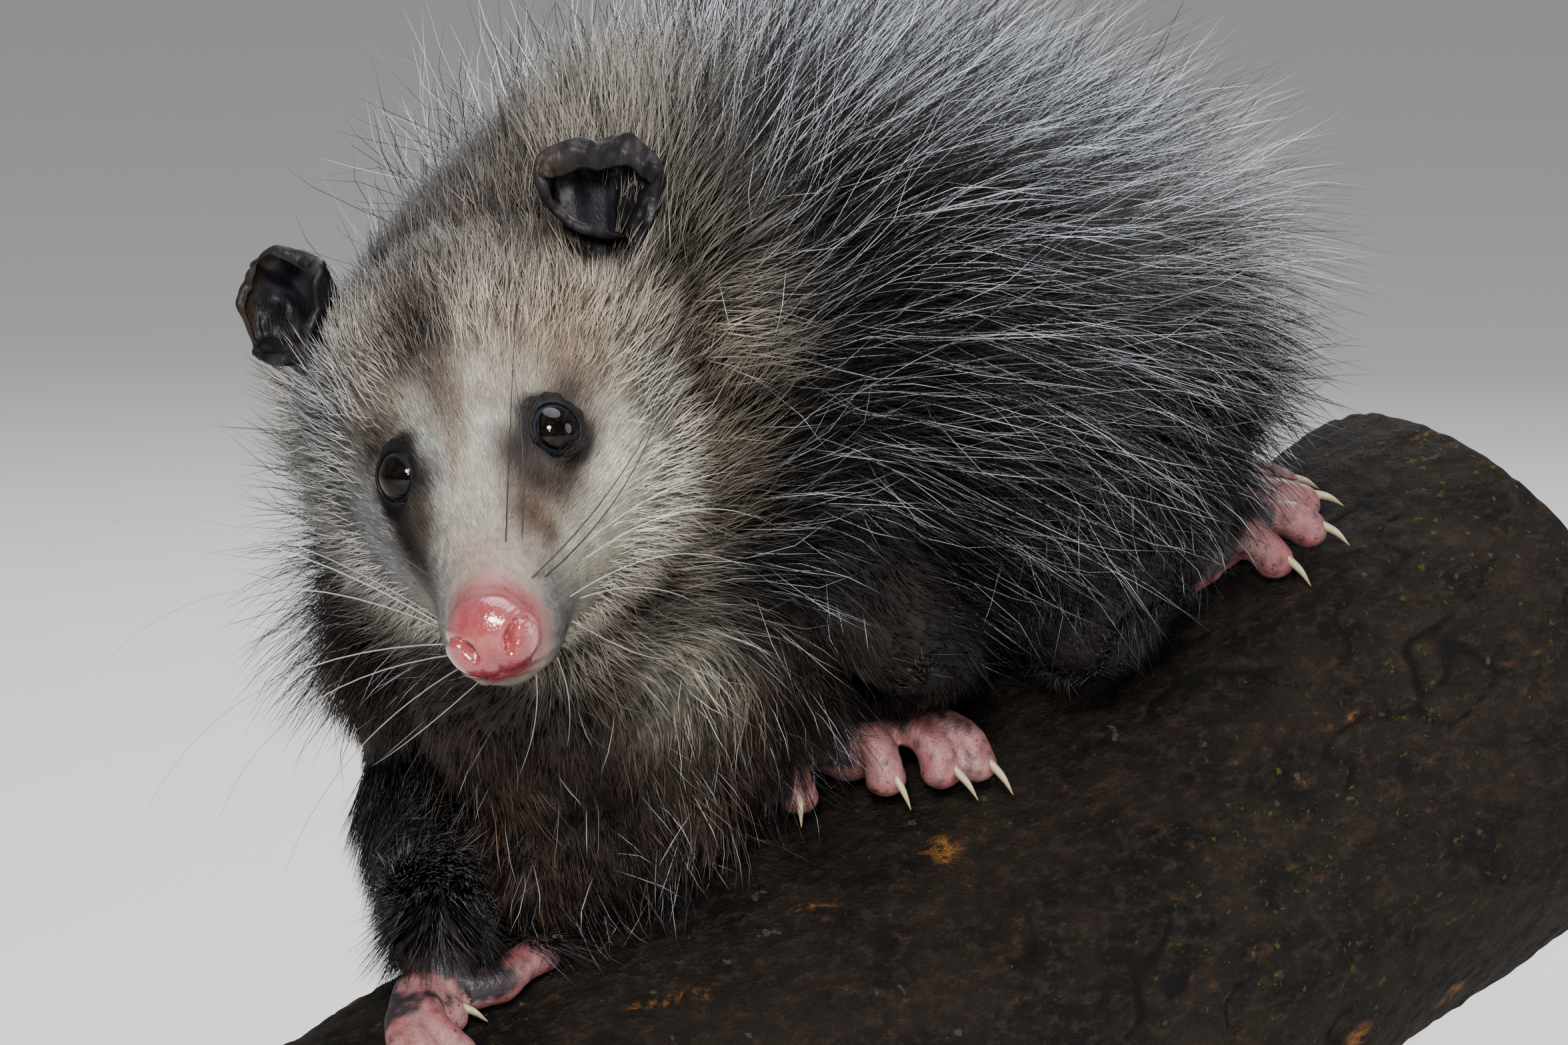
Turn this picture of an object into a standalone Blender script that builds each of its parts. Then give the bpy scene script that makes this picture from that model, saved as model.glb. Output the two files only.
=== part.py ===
"""A Virginia opossum climbing down a sloping limb: a still, life-size museum model on a display stand.

The frame has +Z up and +X uphill along the limb, with its origin under the middle of the stand's base.
The animal's left flank faces -Y. Body measures are millimetres from the grip point, the spot on the
limb's ridge that the left hand holds. Limb places are (along, across, height): along the ridge uphill,
across by arc length towards the far side, and height off the bark. Head places are (left, forward, up)
from the point midway between the eyes. Soft parts are lofted along their own paths, fused by a voxel
remesh, thinned, and cut clear of each other by GAP.
"""
import math
import random

import bmesh
import bpy
import numpy as np
from mathutils import Matrix, Vector
from mathutils.bvhtree import BVHTree

MM = 0.001
GAP = 0.35 * MM               # kept between pieces that touch
AGAIN = 0.31 * MM             # the same, where a cut follows one that was made at GAP

# Stand and limb
BASE_LENGTH = 0.350
BASE_DEPTH = 0.220
BASE_THICK = 0.018
BASE_BEVEL = 0.003
ROD_RADIUS = 0.006
ROD_AT_X = {"stand_rod_front": -0.095, "stand_rod_rear": 0.115}
GRIP = Vector((-0.021, 0.0, 0.241))
LIMB_PITCH = math.radians(19.0)
LIMB_RADIUS = 75.0
LIMB_START = -190.0
LIMB_END = 205.0
LIMB_RINGS = 14
LIMB_SIDES = 26
BARK_WAVE = 1.2

UPHILL = Vector((math.cos(LIMB_PITCH), 0.0, math.sin(LIMB_PITCH)))
OUTWARD = Vector((-math.sin(LIMB_PITCH), 0.0, math.cos(LIMB_PITCH)))
FARSIDE = Vector((0.0, 1.0, 0.0))

# Coat: how far the dense underfur stands off the skin, and the locks of long hair rooted in it
CORE = 14.0
NECK_COAT = 9.0
LOCK_SEED = 23
LOCK_SPACING = 21.5
LOCK_LENGTH = (50.0, 64.0)
BREAST_LENGTH = 0.52                   # the length of a lock on the breast, and of one on the right foreleg,
SLEEVE_LENGTH = 0.62                   # as a share of one on the back
LOCK_WIDTH = (20.0, 26.0)
LOCK_THICK = 4.6
LOCK_SINK = 7.0
LOCK_STEPS = (0.0, 0.34, 0.68, 1.0)
LOCK_TAPER = (0.72, 1.0, 0.62)         # width and thickness at the root and each step short of the tip
LOCK_ANGLES = (52.0, 24.0)             # degrees off the surface at the root and at the tip
LOCK_SWAY = 12.0                       # degrees to either side of the lie
BACK_LIE = Vector((1.0, 0.04, -0.34))  # the way the coat lies, before it is laid along the surface
BREAST_LIE = Vector((0.2, 0.1, -1.0))
BREAST = {"start": (-28, 74), "depth": 40}  # forward of this x and below this z the coat turns to BREAST_LIE
RAY = Vector((0.36, 0.21, 0.91)).normalized()
LOCK_TRIES = 6                         # places tried on each face of the core
BARE_BELOW = -0.62                     # no lock grows where the skin faces down more than this
LOCK_CLEAR = 8.0                       # kept between a lock's root and the pieces round it
SEAM_CLEAR = 3.0                       # the same towards the other coated pieces
TIP_CLEAR = 3.0                        # kept between a lock's outer part and the pieces round it
SHORTER = (1.0, 0.75, 0.55)            # lengths tried where the full one would touch
LOCK_MARGIN = (2.0, 0.36)              # on a lock's edges and faces, where another coat is cut clear of it
SLEEVE_ABOVE = 14                      # height over the grip down to which locks grow on the right foreleg

# Trunk skin from the tail's root to the breast: x, y, z, half width, rise, drop
TRUNK = [
    (150, 37, 74, 3, 3, 3),
    (142, 36, 76, 17, 17, 16),
    (128, 34, 80, 33, 32, 27),
    (108, 31, 85, 47, 43, 37),
    (82, 26, 88, 57, 51, 48),
    (54, 21, 89, 62, 56, 57),
    (24, 15, 91, 62, 60, 60),
    (-8, 8, 92, 58, 65, 62),
    (-36, 1, 84, 53, 66, 66),
    (-60, -4, 64, 47, 62, 62),
    (-79, -8, 38, 40, 52, 46),
    (-90, -9, 14, 30, 36, 32),
    (-95, -9, -4, 13, 14, 12),
]
NECK = [
    (-34, 2, 106, 44, 46, 46),
    (-60, 3, 104, 49, 48, 50),
    (-82, 2, 97, 47, 42, 46),
    (-98, -4, 91, 40, 34, 40),
    (-112, -20, 86, 28, 25, 28),
]
NECK_CUT = {"point": (-62, 0, 104), "ahead": (-0.78, -0.15, 0.60)}
# The chest between the forelegs, down to the limb: x, y, z, skin radius
CHEST = [(-30, -4, 34, 29), (-56, -6, 17, 26), (-80, -6, -4, 21), (-94, -3, -17, 15)]
# Each leg's upper and lower length, from inside the trunk to above the wrist or ankle, as rows of
# x, y, z, skin radius, coat
LEGS = {
    "foreleg_left": (
        [(-40, -26, 70, 18, 8), (-34, -36, 56, 17, 8), (-24, -46, 42, 15, 7), (-15, -49, 34, 12, 7)],
        [(-20, -50, 38, 11, 7), (-12, -48, 33, 12, 7), (-5, -30, 26, 10, 6)]),
    "foreleg_right": (
        [(-64, 34, 80, 28, 18), (-76, 48, 52, 27, 20), (-84, 49, 20, 21, 18), (-88, 44, 0, 16, 12)],
        [(-84, 46, 10, 16, 15), (-89, 40, -6, 15, 12), (-104, 18, -21, 12, 9)]),
    "hindleg_left": (
        [(90, -2, 76, 34, 5), (70, -20, 60, 31, 5), (48, -38, 42, 21, 5), (42, -44, 34, 15, 5)],
        [(40, -44, 36, 13, 5), (46, -43, 34, 15, 5), (70, -34, 40, 13, 5), (91, -22, 49, 11, 4)]),
    "hindleg_right": (
        [(92, 54, 78, 32, 5), (76, 70, 58, 28, 5), (54, 82, 38, 19, 5), (48, 86, 28, 13, 5)],
        [(46, 86, 28, 12, 5), (54, 86, 26, 14, 5), (74, 82, 27, 12, 5), (90, 76, 30, 10.5, 4)]),
}
CUFF = 2.0                    # the fur's thickness round the wrist or ankle
# Feet on the limb: ankle and sole, then digits from the palm to the pad with the radius of each point
HAND_LEFT = {
    "ankle": (2, -8, 18, 9),
    "sole": (-5, -14, 7, 9),
    "digits": [
        [(-11, -8, 7, 5.4), (-20, -5, 8.5, 4.2), (-26.5, -6, 8, 4.5), (-28.5, -9, 4.6, 4.6)],
        [(-12, -12, 8, 5), (-19, -12, 9.5, 4.1), (-24, -14.5, 8.3, 4.4), (-26, -18, 4.6, 4.6)],
        [(-5, -15, 9, 5), (-4, -19, 11, 4), (-4.5, -23.5, 9.3, 4.5), (-6.5, -27.5, 4.8, 4.8)],
        [(0, -16, 9, 5), (5, -24, 11, 4), (6.5, -29.5, 9, 4.5), (5.5, -34, 4.8, 4.8)],
        [(4, -16, 8.5, 5), (12, -27, 10.5, 4), (14.5, -33, 8.8, 4.4), (14, -37.5, 4.7, 4.7)],
    ],
    "claw_tips": [(-32, -12.5, 0.9), (-29.5, -22, 0.9), (-7, -34, 0.9), (7.5, -41.5, 0.9), (16, -45, 0.9)],
}
HAND_RIGHT = {
    "ankle": (-128, -7, 17, 9.5),
    "sole": (-136, -13, 7, 9),
    "digits": [
        [(-134, -19, 6, 5.4), (-127, -22.5, 6, 4.6), (-118.5, -21, 6, 4.5), (-111.5, -19.5, 4.6, 4.8)],
        [(-141, -13, 8, 5), (-145.5, -15, 10, 4.1), (-145, -18.5, 8.4, 4.5), (-142.5, -21.5, 4.6, 4.8)],
        [(-142, -16, 8, 5), (-149, -22, 10, 4), (-151.5, -28, 8.5, 4.4), (-150, -33, 4.7, 4.7)],
        [(-143, -15, 8, 5), (-153, -22, 9.5, 4), (-158, -29, 8.5, 4.4), (-158.5, -35, 4.7, 4.7)],
        [(-143, -12, 7.5, 5), (-155, -21, 9, 4), (-163, -30, 8, 4.3), (-165, -36, 4.5, 4.5)],
    ],
    "claw_tips": [(-104, -18.5, 1.2), (-137, -25, 0.9), (-147, -38.5, 0.9), (-157, -42, 0.9),
                  (-165, -43, 0.9)],
}
FOOT_LEFT = {
    "ankle": (110, -14, 22, 10),
    "sole": (114, -17, 8, 9.5),
    "digits": [
        [(112, -20, 6.5, 7), (102, -21, 5.5, 5.4), (91, -21, 5, 4.6), (82, -20.5, 4.8, 4.9)],
        [(121, -13, 8, 5.8), (134, -9, 11, 4.8), (144, -9, 9.8, 5.3), (150, -11, 5.2, 5.3)],
        [(122, -16, 8, 5.6), (134, -15, 10.5, 4.6), (142, -17, 8.5, 4.9), (148, -19.5, 4.9, 4.9)],
        [(120, -19, 7.5, 5.6), (130, -21.5, 9.5, 4.6), (137, -25, 8, 4.8), (141, -28, 4.8, 4.8)],
        [(116, -21, 7, 5.6), (121, -24.5, 9.5, 4.6), (124, -28, 8, 4.8), (125.5, -31, 4.8, 4.8)],
    ],
    "claw_tips": [None, (158, -13, 1), (156, -23, 1), (146, -34, 0.9), (128, -38, 0.9)],
}
FAR_FOOT_SHIFT = (-10.0, 44.0)   # along, and the sum of both feet's places across
CLAW_RADIUS = 1.5
CLAW_RISE = 2.2
CLAW_POINT = 0.22
CLAW_REACH = 2.5                 # how far a claw runs on past its given tip

# Tail on the far side of the limb: along, across, height, radius
TAIL = [
    (146, 26, 42, 16), (158, 42, 30, 12), (163, 66, 14, 9.8), (156, 86, 9.2, 8.9), (136, 102, 8.5, 8.2),
    (108, 114, 7.9, 7.6), (78, 122, 7.2, 6.9), (48, 128, 6.5, 6.2), (20, 136, 5.8, 5.4), (-2, 150, 5, 4.6),
    (-14, 168, 4.2, 3.8), (-10, 186, 3.6, 3.1), (4, 196, 3.2, 2.6),
]
TAIL_SPLITS = (0.33, 0.64)
TAIL_SIDES = 10

# Head: the point between the eyes, its heading, and the coated form: forward, top, bottom, half width
EYE_MIDPOINT = (-145.2, -48.7, 89.8)
HEAD_HEADING = math.radians(227.9)
HEAD_PITCH = math.radians(-11.9)
HEAD_ROLL = math.radians(18.1)
HEAD = [
    (-64, 20, -42, 36),
    (-54, 30, -52, 46),
    (-40, 33, -57, 51),
    (-28, 31, -58, 51),
    (-14, 24, -55, 45),
    (0, 16, -50, 36),
    (12, 8, -47, 27),
    (24, 1, -44, 20.5),
    (36, -5, -40, 16.5),
    (48, -9, -36, 13),
    (57, -12, -33, 11),
]
CHEEK_LINE = 0.45             # height of the widest line, as a share of the section
NOSE_PAD = {"at": (0, 61, -20.5), "size": (11.5, 6.5, 9.5)}
EYE_AT = (16.6, -1.0, -0.5)
EYE_RADIUS = 7.2
EYE_LOOK = (0.62, 0.70, 0.36)
LID_OPEN = 6.2
LID_THICK = 1.5
EAR_ROOT = (35, -45, 26)
EAR_HEIGHT = 25.0
EAR_WIDTH = 12.0
EAR_WALL = 1.6

FINISHES = {
    "guard_coat": ((0.060, 0.052, 0.050, 1.0), 0.70),
    "face_fur": ((0.600, 0.540, 0.460, 1.0), 0.75),
    "dark_leg_fur": ((0.030, 0.024, 0.022, 1.0), 0.70),
    "foot_skin": ((0.480, 0.240, 0.220, 1.0), 0.50),
    "tail_skin": ((0.420, 0.330, 0.300, 1.0), 0.60),
    "ear_leather": ((0.030, 0.030, 0.036, 1.0), 0.45),
    "eye_glass": ((0.008, 0.006, 0.005, 1.0), 0.05),
    "claw_horn": ((0.620, 0.540, 0.400, 1.0), 0.40),
    "bark": ((0.045, 0.034, 0.026, 1.0), 0.90),
    "rod_steel": ((0.080, 0.080, 0.085, 1.0), 0.35),
    "base_wood": ((0.110, 0.060, 0.035, 1.0), 0.40),
}


def at(x, y, z):
    """A body place in millimetres from the grip point, as a point of the model in metres."""
    return GRIP + Vector((x, y, z)) * MM


def on_limb(along, across, height):
    """A limb place in millimetres, as a point of the model in metres."""
    angle = across / LIMB_RADIUS
    away = math.sin(angle) * FARSIDE + math.cos(angle) * OUTWARD
    axis = GRIP + (along * UPHILL - LIMB_RADIUS * OUTWARD) * MM
    return axis + away * (LIMB_RADIUS + height) * MM


def head_axes():
    """The head's left, forward and up directions."""
    forward = Vector((math.cos(HEAD_HEADING) * math.cos(HEAD_PITCH),
                      math.sin(HEAD_HEADING) * math.cos(HEAD_PITCH), math.sin(HEAD_PITCH)))
    level = Vector((-math.sin(HEAD_HEADING), math.cos(HEAD_HEADING), 0.0))
    upright = forward.cross(level)
    left = level * math.cos(HEAD_ROLL) + upright * math.sin(HEAD_ROLL)
    return left, forward, forward.cross(left)


HEAD_LEFT, HEAD_FORWARD, HEAD_UP = head_axes()


def on_head(left, forward, up):
    """A head place in millimetres, as a point of the model in metres."""
    return at(*EYE_MIDPOINT) + (left * HEAD_LEFT + forward * HEAD_FORWARD + up * HEAD_UP) * MM


def clear_scene():
    """Removes every object, so that the script starts from nothing."""
    for thing in list(bpy.data.objects):
        bpy.data.objects.remove(thing, do_unlink=True)


def finish_material(name):
    """A Principled material in the colour and roughness that FINISHES names."""
    colour, roughness = FINISHES[name]
    material = bpy.data.materials.new(name)
    material.use_nodes = True
    shader = material.node_tree.nodes["Principled BSDF"]
    shader.inputs["Base Color"].default_value = colour
    shader.inputs["Roughness"].default_value = roughness
    return material


def new_object(name, mesh):
    """Links a mesh to the scene under its own name."""
    thing = bpy.data.objects.new(name, mesh)
    bpy.context.scene.collection.objects.link(thing)
    return thing


def from_faces(name, points, faces):
    """An object from points and faces, with its faces turned outwards."""
    mesh = bpy.data.meshes.new(name)
    mesh.from_pydata([tuple(p) for p in points], [], faces)
    work = bmesh.new()
    work.from_mesh(mesh)
    bmesh.ops.recalc_face_normals(work, faces=work.faces)
    work.to_mesh(mesh)
    work.free()
    return new_object(name, mesh)


def smooth_rows(rows, steps):
    """Rows of numbers joined by a Catmull-Rom curve, with the given steps between neighbours."""
    rows = np.array(rows, float)
    padded = np.vstack([2 * rows[0] - rows[1], rows, 2 * rows[-1] - rows[-2]])
    out = []
    for i in range(1, len(padded) - 2):
        before, start, end, after = padded[i - 1:i + 3]
        for t in np.arange(steps) / steps:
            bend = 2 * before - 5 * start + 4 * end - after
            twist = 3 * start - before - 3 * end + after
            out.append(0.5 * (2 * start + (end - before) * t + bend * t ** 2 + twist * t ** 3))
    out.append(rows[-1])
    return [tuple(float(value) for value in row) for row in out]


def loft(name, centres, rings, sides):
    """Closed body through rings of points: rings is a list of lists of offsets, one list to a centre."""
    points = []
    for centre, ring in zip(centres, rings):
        points += [centre + offset for offset in ring]
    faces = []
    for row in range(len(centres) - 1):
        for side in range(sides):
            here = row * sides + side
            along = row * sides + (side + 1) % sides
            faces.append((here, along, along + sides, here + sides))
    faces.append(tuple(reversed(range(sides))))
    last = (len(centres) - 1) * sides
    faces.append(tuple(range(last, last + sides)))
    return from_faces(name, points, faces)


def path_frames(centres, upright):
    """Side and rise directions square to a path at each of its points."""
    frames = []
    for i in range(len(centres)):
        ahead = (centres[min(i + 1, len(centres) - 1)] - centres[max(i - 1, 0)]).normalized()
        side = upright.cross(ahead).normalized()
        frames.append((side, ahead.cross(side)))
    return frames


def tube(name, centres, radii, sides=14, upright=Vector((0.0, 0.0, 1.0))):
    """A round tube in metres through centres, with a radius at each."""
    rings = []
    for (side, rise), radius in zip(path_frames(centres, upright), radii):
        rings.append([radius * (math.cos(a) * side + math.sin(a) * rise) for a in turn(sides)])
    return loft(name, centres, rings, sides)


def turn(sides):
    """Angles of one full turn."""
    return [2 * math.pi * i / sides for i in range(sides)]


def body_loft(name, rows, coat, sides=28, steps=5):
    """A trunk through rows of x, y, z, half width, rise and drop, grown by a coat that thins at its ends."""
    fine = smooth_rows(rows, steps)
    centres = [at(*row[:3]) for row in fine]
    rings = []
    for (side, rise), row in zip(path_frames(centres, Vector((0.0, 0.0, 1.0))), fine):
        width, high, low = (math.sqrt(size * (size + 2 * coat)) * MM for size in row[3:])
        rings.append([width * math.cos(a) * side + (high if math.sin(a) > 0 else low) * math.sin(a) * rise
                      for a in turn(sides)])
    return loft(name, centres, rings, sides)


def ball(name, centre, radius, rings=10, sides=16):
    """A round ball in metres."""
    mesh = bpy.data.meshes.new(name)
    work = bmesh.new()
    bmesh.ops.create_uvsphere(work, u_segments=sides, v_segments=rings, radius=radius)
    work.to_mesh(mesh)
    work.free()
    mesh.transform(Matrix.Translation(centre))
    return new_object(name, mesh)


def head_ball(name, place, size, rings=10, sides=16):
    """An ellipsoid set square to the head, with its half sizes to the left, forward and up."""
    thing = ball(name, Vector((0, 0, 0)), 1.0, rings, sides)
    turned = Matrix((HEAD_LEFT, HEAD_FORWARD, HEAD_UP)).transposed().to_4x4()
    scaled = Matrix.Diagonal((size[0] * MM, size[1] * MM, size[2] * MM, 1.0))
    thing.data.transform(Matrix.Translation(on_head(*place)) @ turned @ scaled)
    return thing


def evaluated(thing):
    """The object's mesh with its modifiers applied, in place of the old one."""
    graph = bpy.context.evaluated_depsgraph_get()
    mesh = bpy.data.meshes.new_from_object(thing.evaluated_get(graph))
    thing.modifiers.clear()
    thing.data = mesh
    return thing


def joined(name, pieces):
    """One object that holds the meshes of all the pieces, which are removed."""
    work = bmesh.new()
    for piece in pieces:
        work.from_mesh(piece.data)
        bpy.data.objects.remove(piece, do_unlink=True)
    mesh = bpy.data.meshes.new(name)
    work.to_mesh(mesh)
    work.free()
    return new_object(name, mesh)


def fused(name, pieces, voxel, relax, triangles):
    """The pieces as one smooth closed skin of about the given number of triangles."""
    thing = joined(name, pieces)
    remesh = thing.modifiers.new("Fuse", 'REMESH')
    remesh.mode = 'VOXEL'
    remesh.voxel_size = voxel * MM
    soften = thing.modifiers.new("Soften", 'SMOOTH')
    soften.factor = 0.5
    soften.iterations = relax
    evaluated(thing)
    triangulate(thing)
    return thinned(thing, triangles)


def triangulate(thing):
    """Splits every face into triangles."""
    work = bmesh.new()
    work.from_mesh(thing.data)
    bmesh.ops.triangulate(work, faces=work.faces)
    work.to_mesh(thing.data)
    work.free()


def thinned(thing, triangles):
    """Collapses edges down to about the given number of triangles."""
    thin = thing.modifiers.new("Thin", 'DECIMATE')
    thin.ratio = min(1.0, triangles / len(thing.data.polygons))
    return evaluated(thing)


def combine(thing, other, operation):
    """Applies a Boolean with another object, which is kept."""
    step = thing.modifiers.new("Cut", 'BOOLEAN')
    step.operation = operation
    step.object = other
    step.solver = 'EXACT'
    return evaluated(thing)


def swollen(thing, by):
    """A copy of the object grown along its normals."""
    mesh = thing.data.copy()
    normals = [Vector(v.normal) for v in mesh.vertices]
    for vertex, normal in zip(mesh.vertices, normals):
        vertex.co += normal * by
    return new_object("swollen", mesh)


def keep_clear(thing, neighbours, by=GAP):
    """Cuts the object clear of each neighbour by a gap and keeps its largest closed surface."""
    for neighbour in neighbours:
        cutter = swollen(neighbour, by)
        combine(thing, cutter, 'DIFFERENCE')
        bpy.data.objects.remove(cutter, do_unlink=True)
    return largest(thing)


def largest(thing):
    """Keeps only the object's largest connected surface, and drops faces and edges with no size."""
    work = bmesh.new()
    work.from_mesh(thing.data)
    bmesh.ops.triangulate(work, faces=work.faces)
    bmesh.ops.dissolve_degenerate(work, dist=0.00001, edges=work.edges)
    seen = set()
    groups = []
    for vertex in work.verts:
        if vertex in seen:
            continue
        group = [vertex]
        seen.add(vertex)
        for member in group:
            for edge in member.link_edges:
                other = edge.other_vert(member)
                if other not in seen:
                    seen.add(other)
                    group.append(other)
        groups.append(group)
    groups.sort(key=len)
    for group in groups[:-1]:
        bmesh.ops.delete(work, geom=group, context='VERTS')
    work.to_mesh(thing.data)
    work.free()
    return thing


def half(thing, point, away):
    """Cuts off what lies past a plane, half a GAP short of it, and closes the cut."""
    work = bmesh.new()
    work.from_mesh(thing.data)
    geometry = list(work.verts) + list(work.edges) + list(work.faces)
    bmesh.ops.bisect_plane(work, geom=geometry, plane_co=point - away * GAP / 2, plane_no=away,
                           clear_outer=True)
    bmesh.ops.holes_fill(work, edges=[e for e in work.edges if e.is_boundary])
    bmesh.ops.triangulate(work, faces=work.faces)
    work.to_mesh(thing.data)
    work.free()
    return thing


def dressed(thing, finish):
    """Gives the object its material and smooth shading."""
    thing.data.materials.clear()
    thing.data.materials.append(MATERIALS[finish])
    thing.data.shade_smooth()
    return thing


def make_perch():
    """The cut length of limb, with slow swells and dips under its bark."""
    points = []
    for i in range(LIMB_RINGS):
        along = LIMB_START + (LIMB_END - LIMB_START) * i / (LIMB_RINGS - 1)
        for a in turn(LIMB_SIDES):
            swell = math.sin(3 * a + along / 31.0) + math.sin(2 * a - along / 47.0) - 2
            points.append(on_limb(along, a * LIMB_RADIUS, BARK_WAVE * swell))
    faces = []
    for row in range(LIMB_RINGS - 1):
        for side in range(LIMB_SIDES):
            here = row * LIMB_SIDES + side
            beside = row * LIMB_SIDES + (side + 1) % LIMB_SIDES
            faces.append((here, beside, beside + LIMB_SIDES, here + LIMB_SIDES))
    faces.append(tuple(range(LIMB_SIDES)))
    last = (LIMB_RINGS - 1) * LIMB_SIDES
    faces.append(tuple(range(last, last + LIMB_SIDES)))
    perch = from_faces("perch", points, faces)
    triangulate(perch)
    return dressed(perch, "bark")


def make_stand(perch):
    """The flat base and the two rods that reach up to the limb."""
    mesh = bpy.data.meshes.new("stand_base")
    work = bmesh.new()
    bmesh.ops.create_cube(work, size=1.0)
    bmesh.ops.scale(work, vec=(BASE_LENGTH, BASE_DEPTH, BASE_THICK), verts=work.verts)
    bmesh.ops.translate(work, vec=(0.0, 0.0, BASE_THICK / 2), verts=work.verts)
    rim = [e for e in work.edges if any(v.co.z > BASE_THICK / 2 for v in e.verts)]
    bmesh.ops.bevel(work, geom=rim, offset=BASE_BEVEL, segments=2, affect='EDGES')
    work.to_mesh(mesh)
    work.free()
    dressed(new_object("stand_base", mesh), "base_wood")
    for name, x in ROD_AT_X.items():
        foot = Vector((x, 0.0, BASE_THICK + GAP))
        top = Vector((x, 0.0, GRIP.z))
        rod = tube(name, [foot, top], [ROD_RADIUS] * 2, 20, Vector((0.0, 1.0, 0.0)))
        keep_clear(rod, [perch])
        dressed(rod, "rod_steel")


def lock_roots(core, spacing, chance):
    """Points spread evenly over the core where the skin doesn't face down, each with its outward normal."""
    mesh = core.data
    spots = []
    for face in mesh.polygons:
        corners = [mesh.vertices[i].co for i in face.vertices]
        for _ in range(LOCK_TRIES):
            weights = [chance.random() for _ in corners]
            total = sum(weights)
            place = sum((c * (w / total) for c, w in zip(corners, weights)), Vector())
            spots.append((place, face.normal.copy()))
    spots = [spot for spot in spots if spot[1].z > BARE_BELOW]
    chance.shuffle(spots)
    chosen = []
    for spot in spots:
        if all((spot[0] - other[0]).length > spacing * MM for other in chosen):
            chosen.append(spot)
    return chosen


def breast_share(place):
    """How far a place belongs to the breast, from 0 on the back and flanks to 1."""
    x, _, z = (place - GRIP) / MM
    (start, top), depth = BREAST["start"], BREAST["depth"]
    return min(max((start - x) / depth, 0.0), 1.0) * min(max((top - z) / depth, 0.0), 1.0)


def lock_shape(root, normal, chance, scale):
    """The path of one lock and its width: it leaves the surface steeply and bends over along its lie."""
    breast = breast_share(root)
    lie = BACK_LIE.lerp(BREAST_LIE, breast)
    lie = (lie - normal * lie.dot(normal)).normalized()
    lie = Matrix.Rotation(math.radians(chance.uniform(-LOCK_SWAY, LOCK_SWAY)), 3, normal) @ lie
    length = chance.uniform(*LOCK_LENGTH) * min(scale, 1.0 + (BREAST_LENGTH - 1.0) * breast)
    width = chance.uniform(*LOCK_WIDTH) * (0.5 + 0.5 * length / LOCK_LENGTH[1])
    place = root - normal * LOCK_SINK * MM
    path = []
    for step, share in enumerate(LOCK_STEPS):
        angle = math.radians(LOCK_ANGLES[0] + (LOCK_ANGLES[1] - LOCK_ANGLES[0]) * share)
        ahead = lie * math.cos(angle) + normal * math.sin(angle)
        if step:
            place = place + ahead * (length + LOCK_SINK) * (share - LOCK_STEPS[step - 1]) * MM
        path.append((place, ahead))
    return path, normal.cross(lie), width


def make_lock(shape, margin=(0.0, 0.0)):
    """One flat, tapered lock with a low ridge, or with a margin on its edges and faces a cutter for it."""
    path, side, width = shape
    edge, face = margin
    points = []
    for (place, ahead), taper in zip(path, LOCK_TAPER):
        rise = side.cross(ahead).normalized() * MM
        wide = side * (0.5 * width * taper + edge) * MM
        points += [place + wide - rise * face, place + rise * (LOCK_THICK * taper + face),
                   place - wide - rise * face]
    tip, ahead = path[-1]
    points.append(tip + ahead * edge * MM)
    faces = [(0, 1, 2)]
    rings = len(LOCK_TAPER)
    for ring in range(rings - 1):
        faces += [(3 * ring + i, 3 * ring + (i + 1) % 3, 3 * ring + 3 + (i + 1) % 3, 3 * ring + 3 + i)
                  for i in range(3)]
    last = 3 * (rings - 1)
    faces += [(last + i, last + (i + 1) % 3, 3 * rings) for i in range(3)]
    lock = from_faces("lock", points, faces)
    triangulate(lock)
    return lock


def search_tree(thing):
    """A search tree over the object's surface."""
    mesh = thing.data
    return BVHTree.FromPolygons([v.co for v in mesh.vertices], [tuple(f.vertices) for f in mesh.polygons])


def encloses(tree, spot):
    """Whether a closed surface holds a spot, by the parity of its crossings with a ray."""
    crossings = 0
    start = spot
    while True:
        hit = tree.ray_cast(start, RAY)[0]
        if hit is None:
            return crossings % 2 == 1
        crossings += 1
        start = hit + RAY * MM * 0.01


def far_from(spot, trees, clear):
    """Whether a spot lies outside every surface in the search trees by at least the given distance."""
    return all(tree.find_nearest(spot)[3] > clear * MM and not encloses(tree, spot) for tree in trees)


def fitting_locks(node, scale, around, seams, chance):
    """The locks of a node, each as long as it can be with its outer part clear of the pieces around."""
    shapes = []
    for root, normal in lock_roots(node, LOCK_SPACING, chance):
        if not (far_from(root, around, LOCK_CLEAR) and far_from(root, seams, SEAM_CLEAR)):
            continue
        if scale < 1.0 and root.z < GRIP.z + SLEEVE_ABOVE * MM:
            continue
        for shorter in SHORTER:
            shape = lock_shape(root, normal, chance, scale * shorter)
            if all(far_from(place, around + seams, TIP_CLEAR) for place, _ in shape[0][1:]):
                shapes.append(shape)
                break
    return shapes


def with_bundle(node, pieces, operation):
    """Applies one Boolean between a node and a collection of closed pieces, which are removed."""
    bundle = bpy.data.collections.new("bundle")
    bpy.context.scene.collection.children.link(bundle)
    for piece in pieces:
        bpy.context.scene.collection.objects.unlink(piece)
        bundle.objects.link(piece)
    join = node.modifiers.new("Bundle", 'BOOLEAN')
    join.operation = operation
    join.operand_type = 'COLLECTION'
    join.collection = bundle
    join.solver = 'EXACT'
    evaluated(node)
    for piece in list(bundle.objects):
        bpy.data.objects.remove(piece, do_unlink=True)
    bpy.data.collections.remove(bundle)
    return largest(node)


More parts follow.
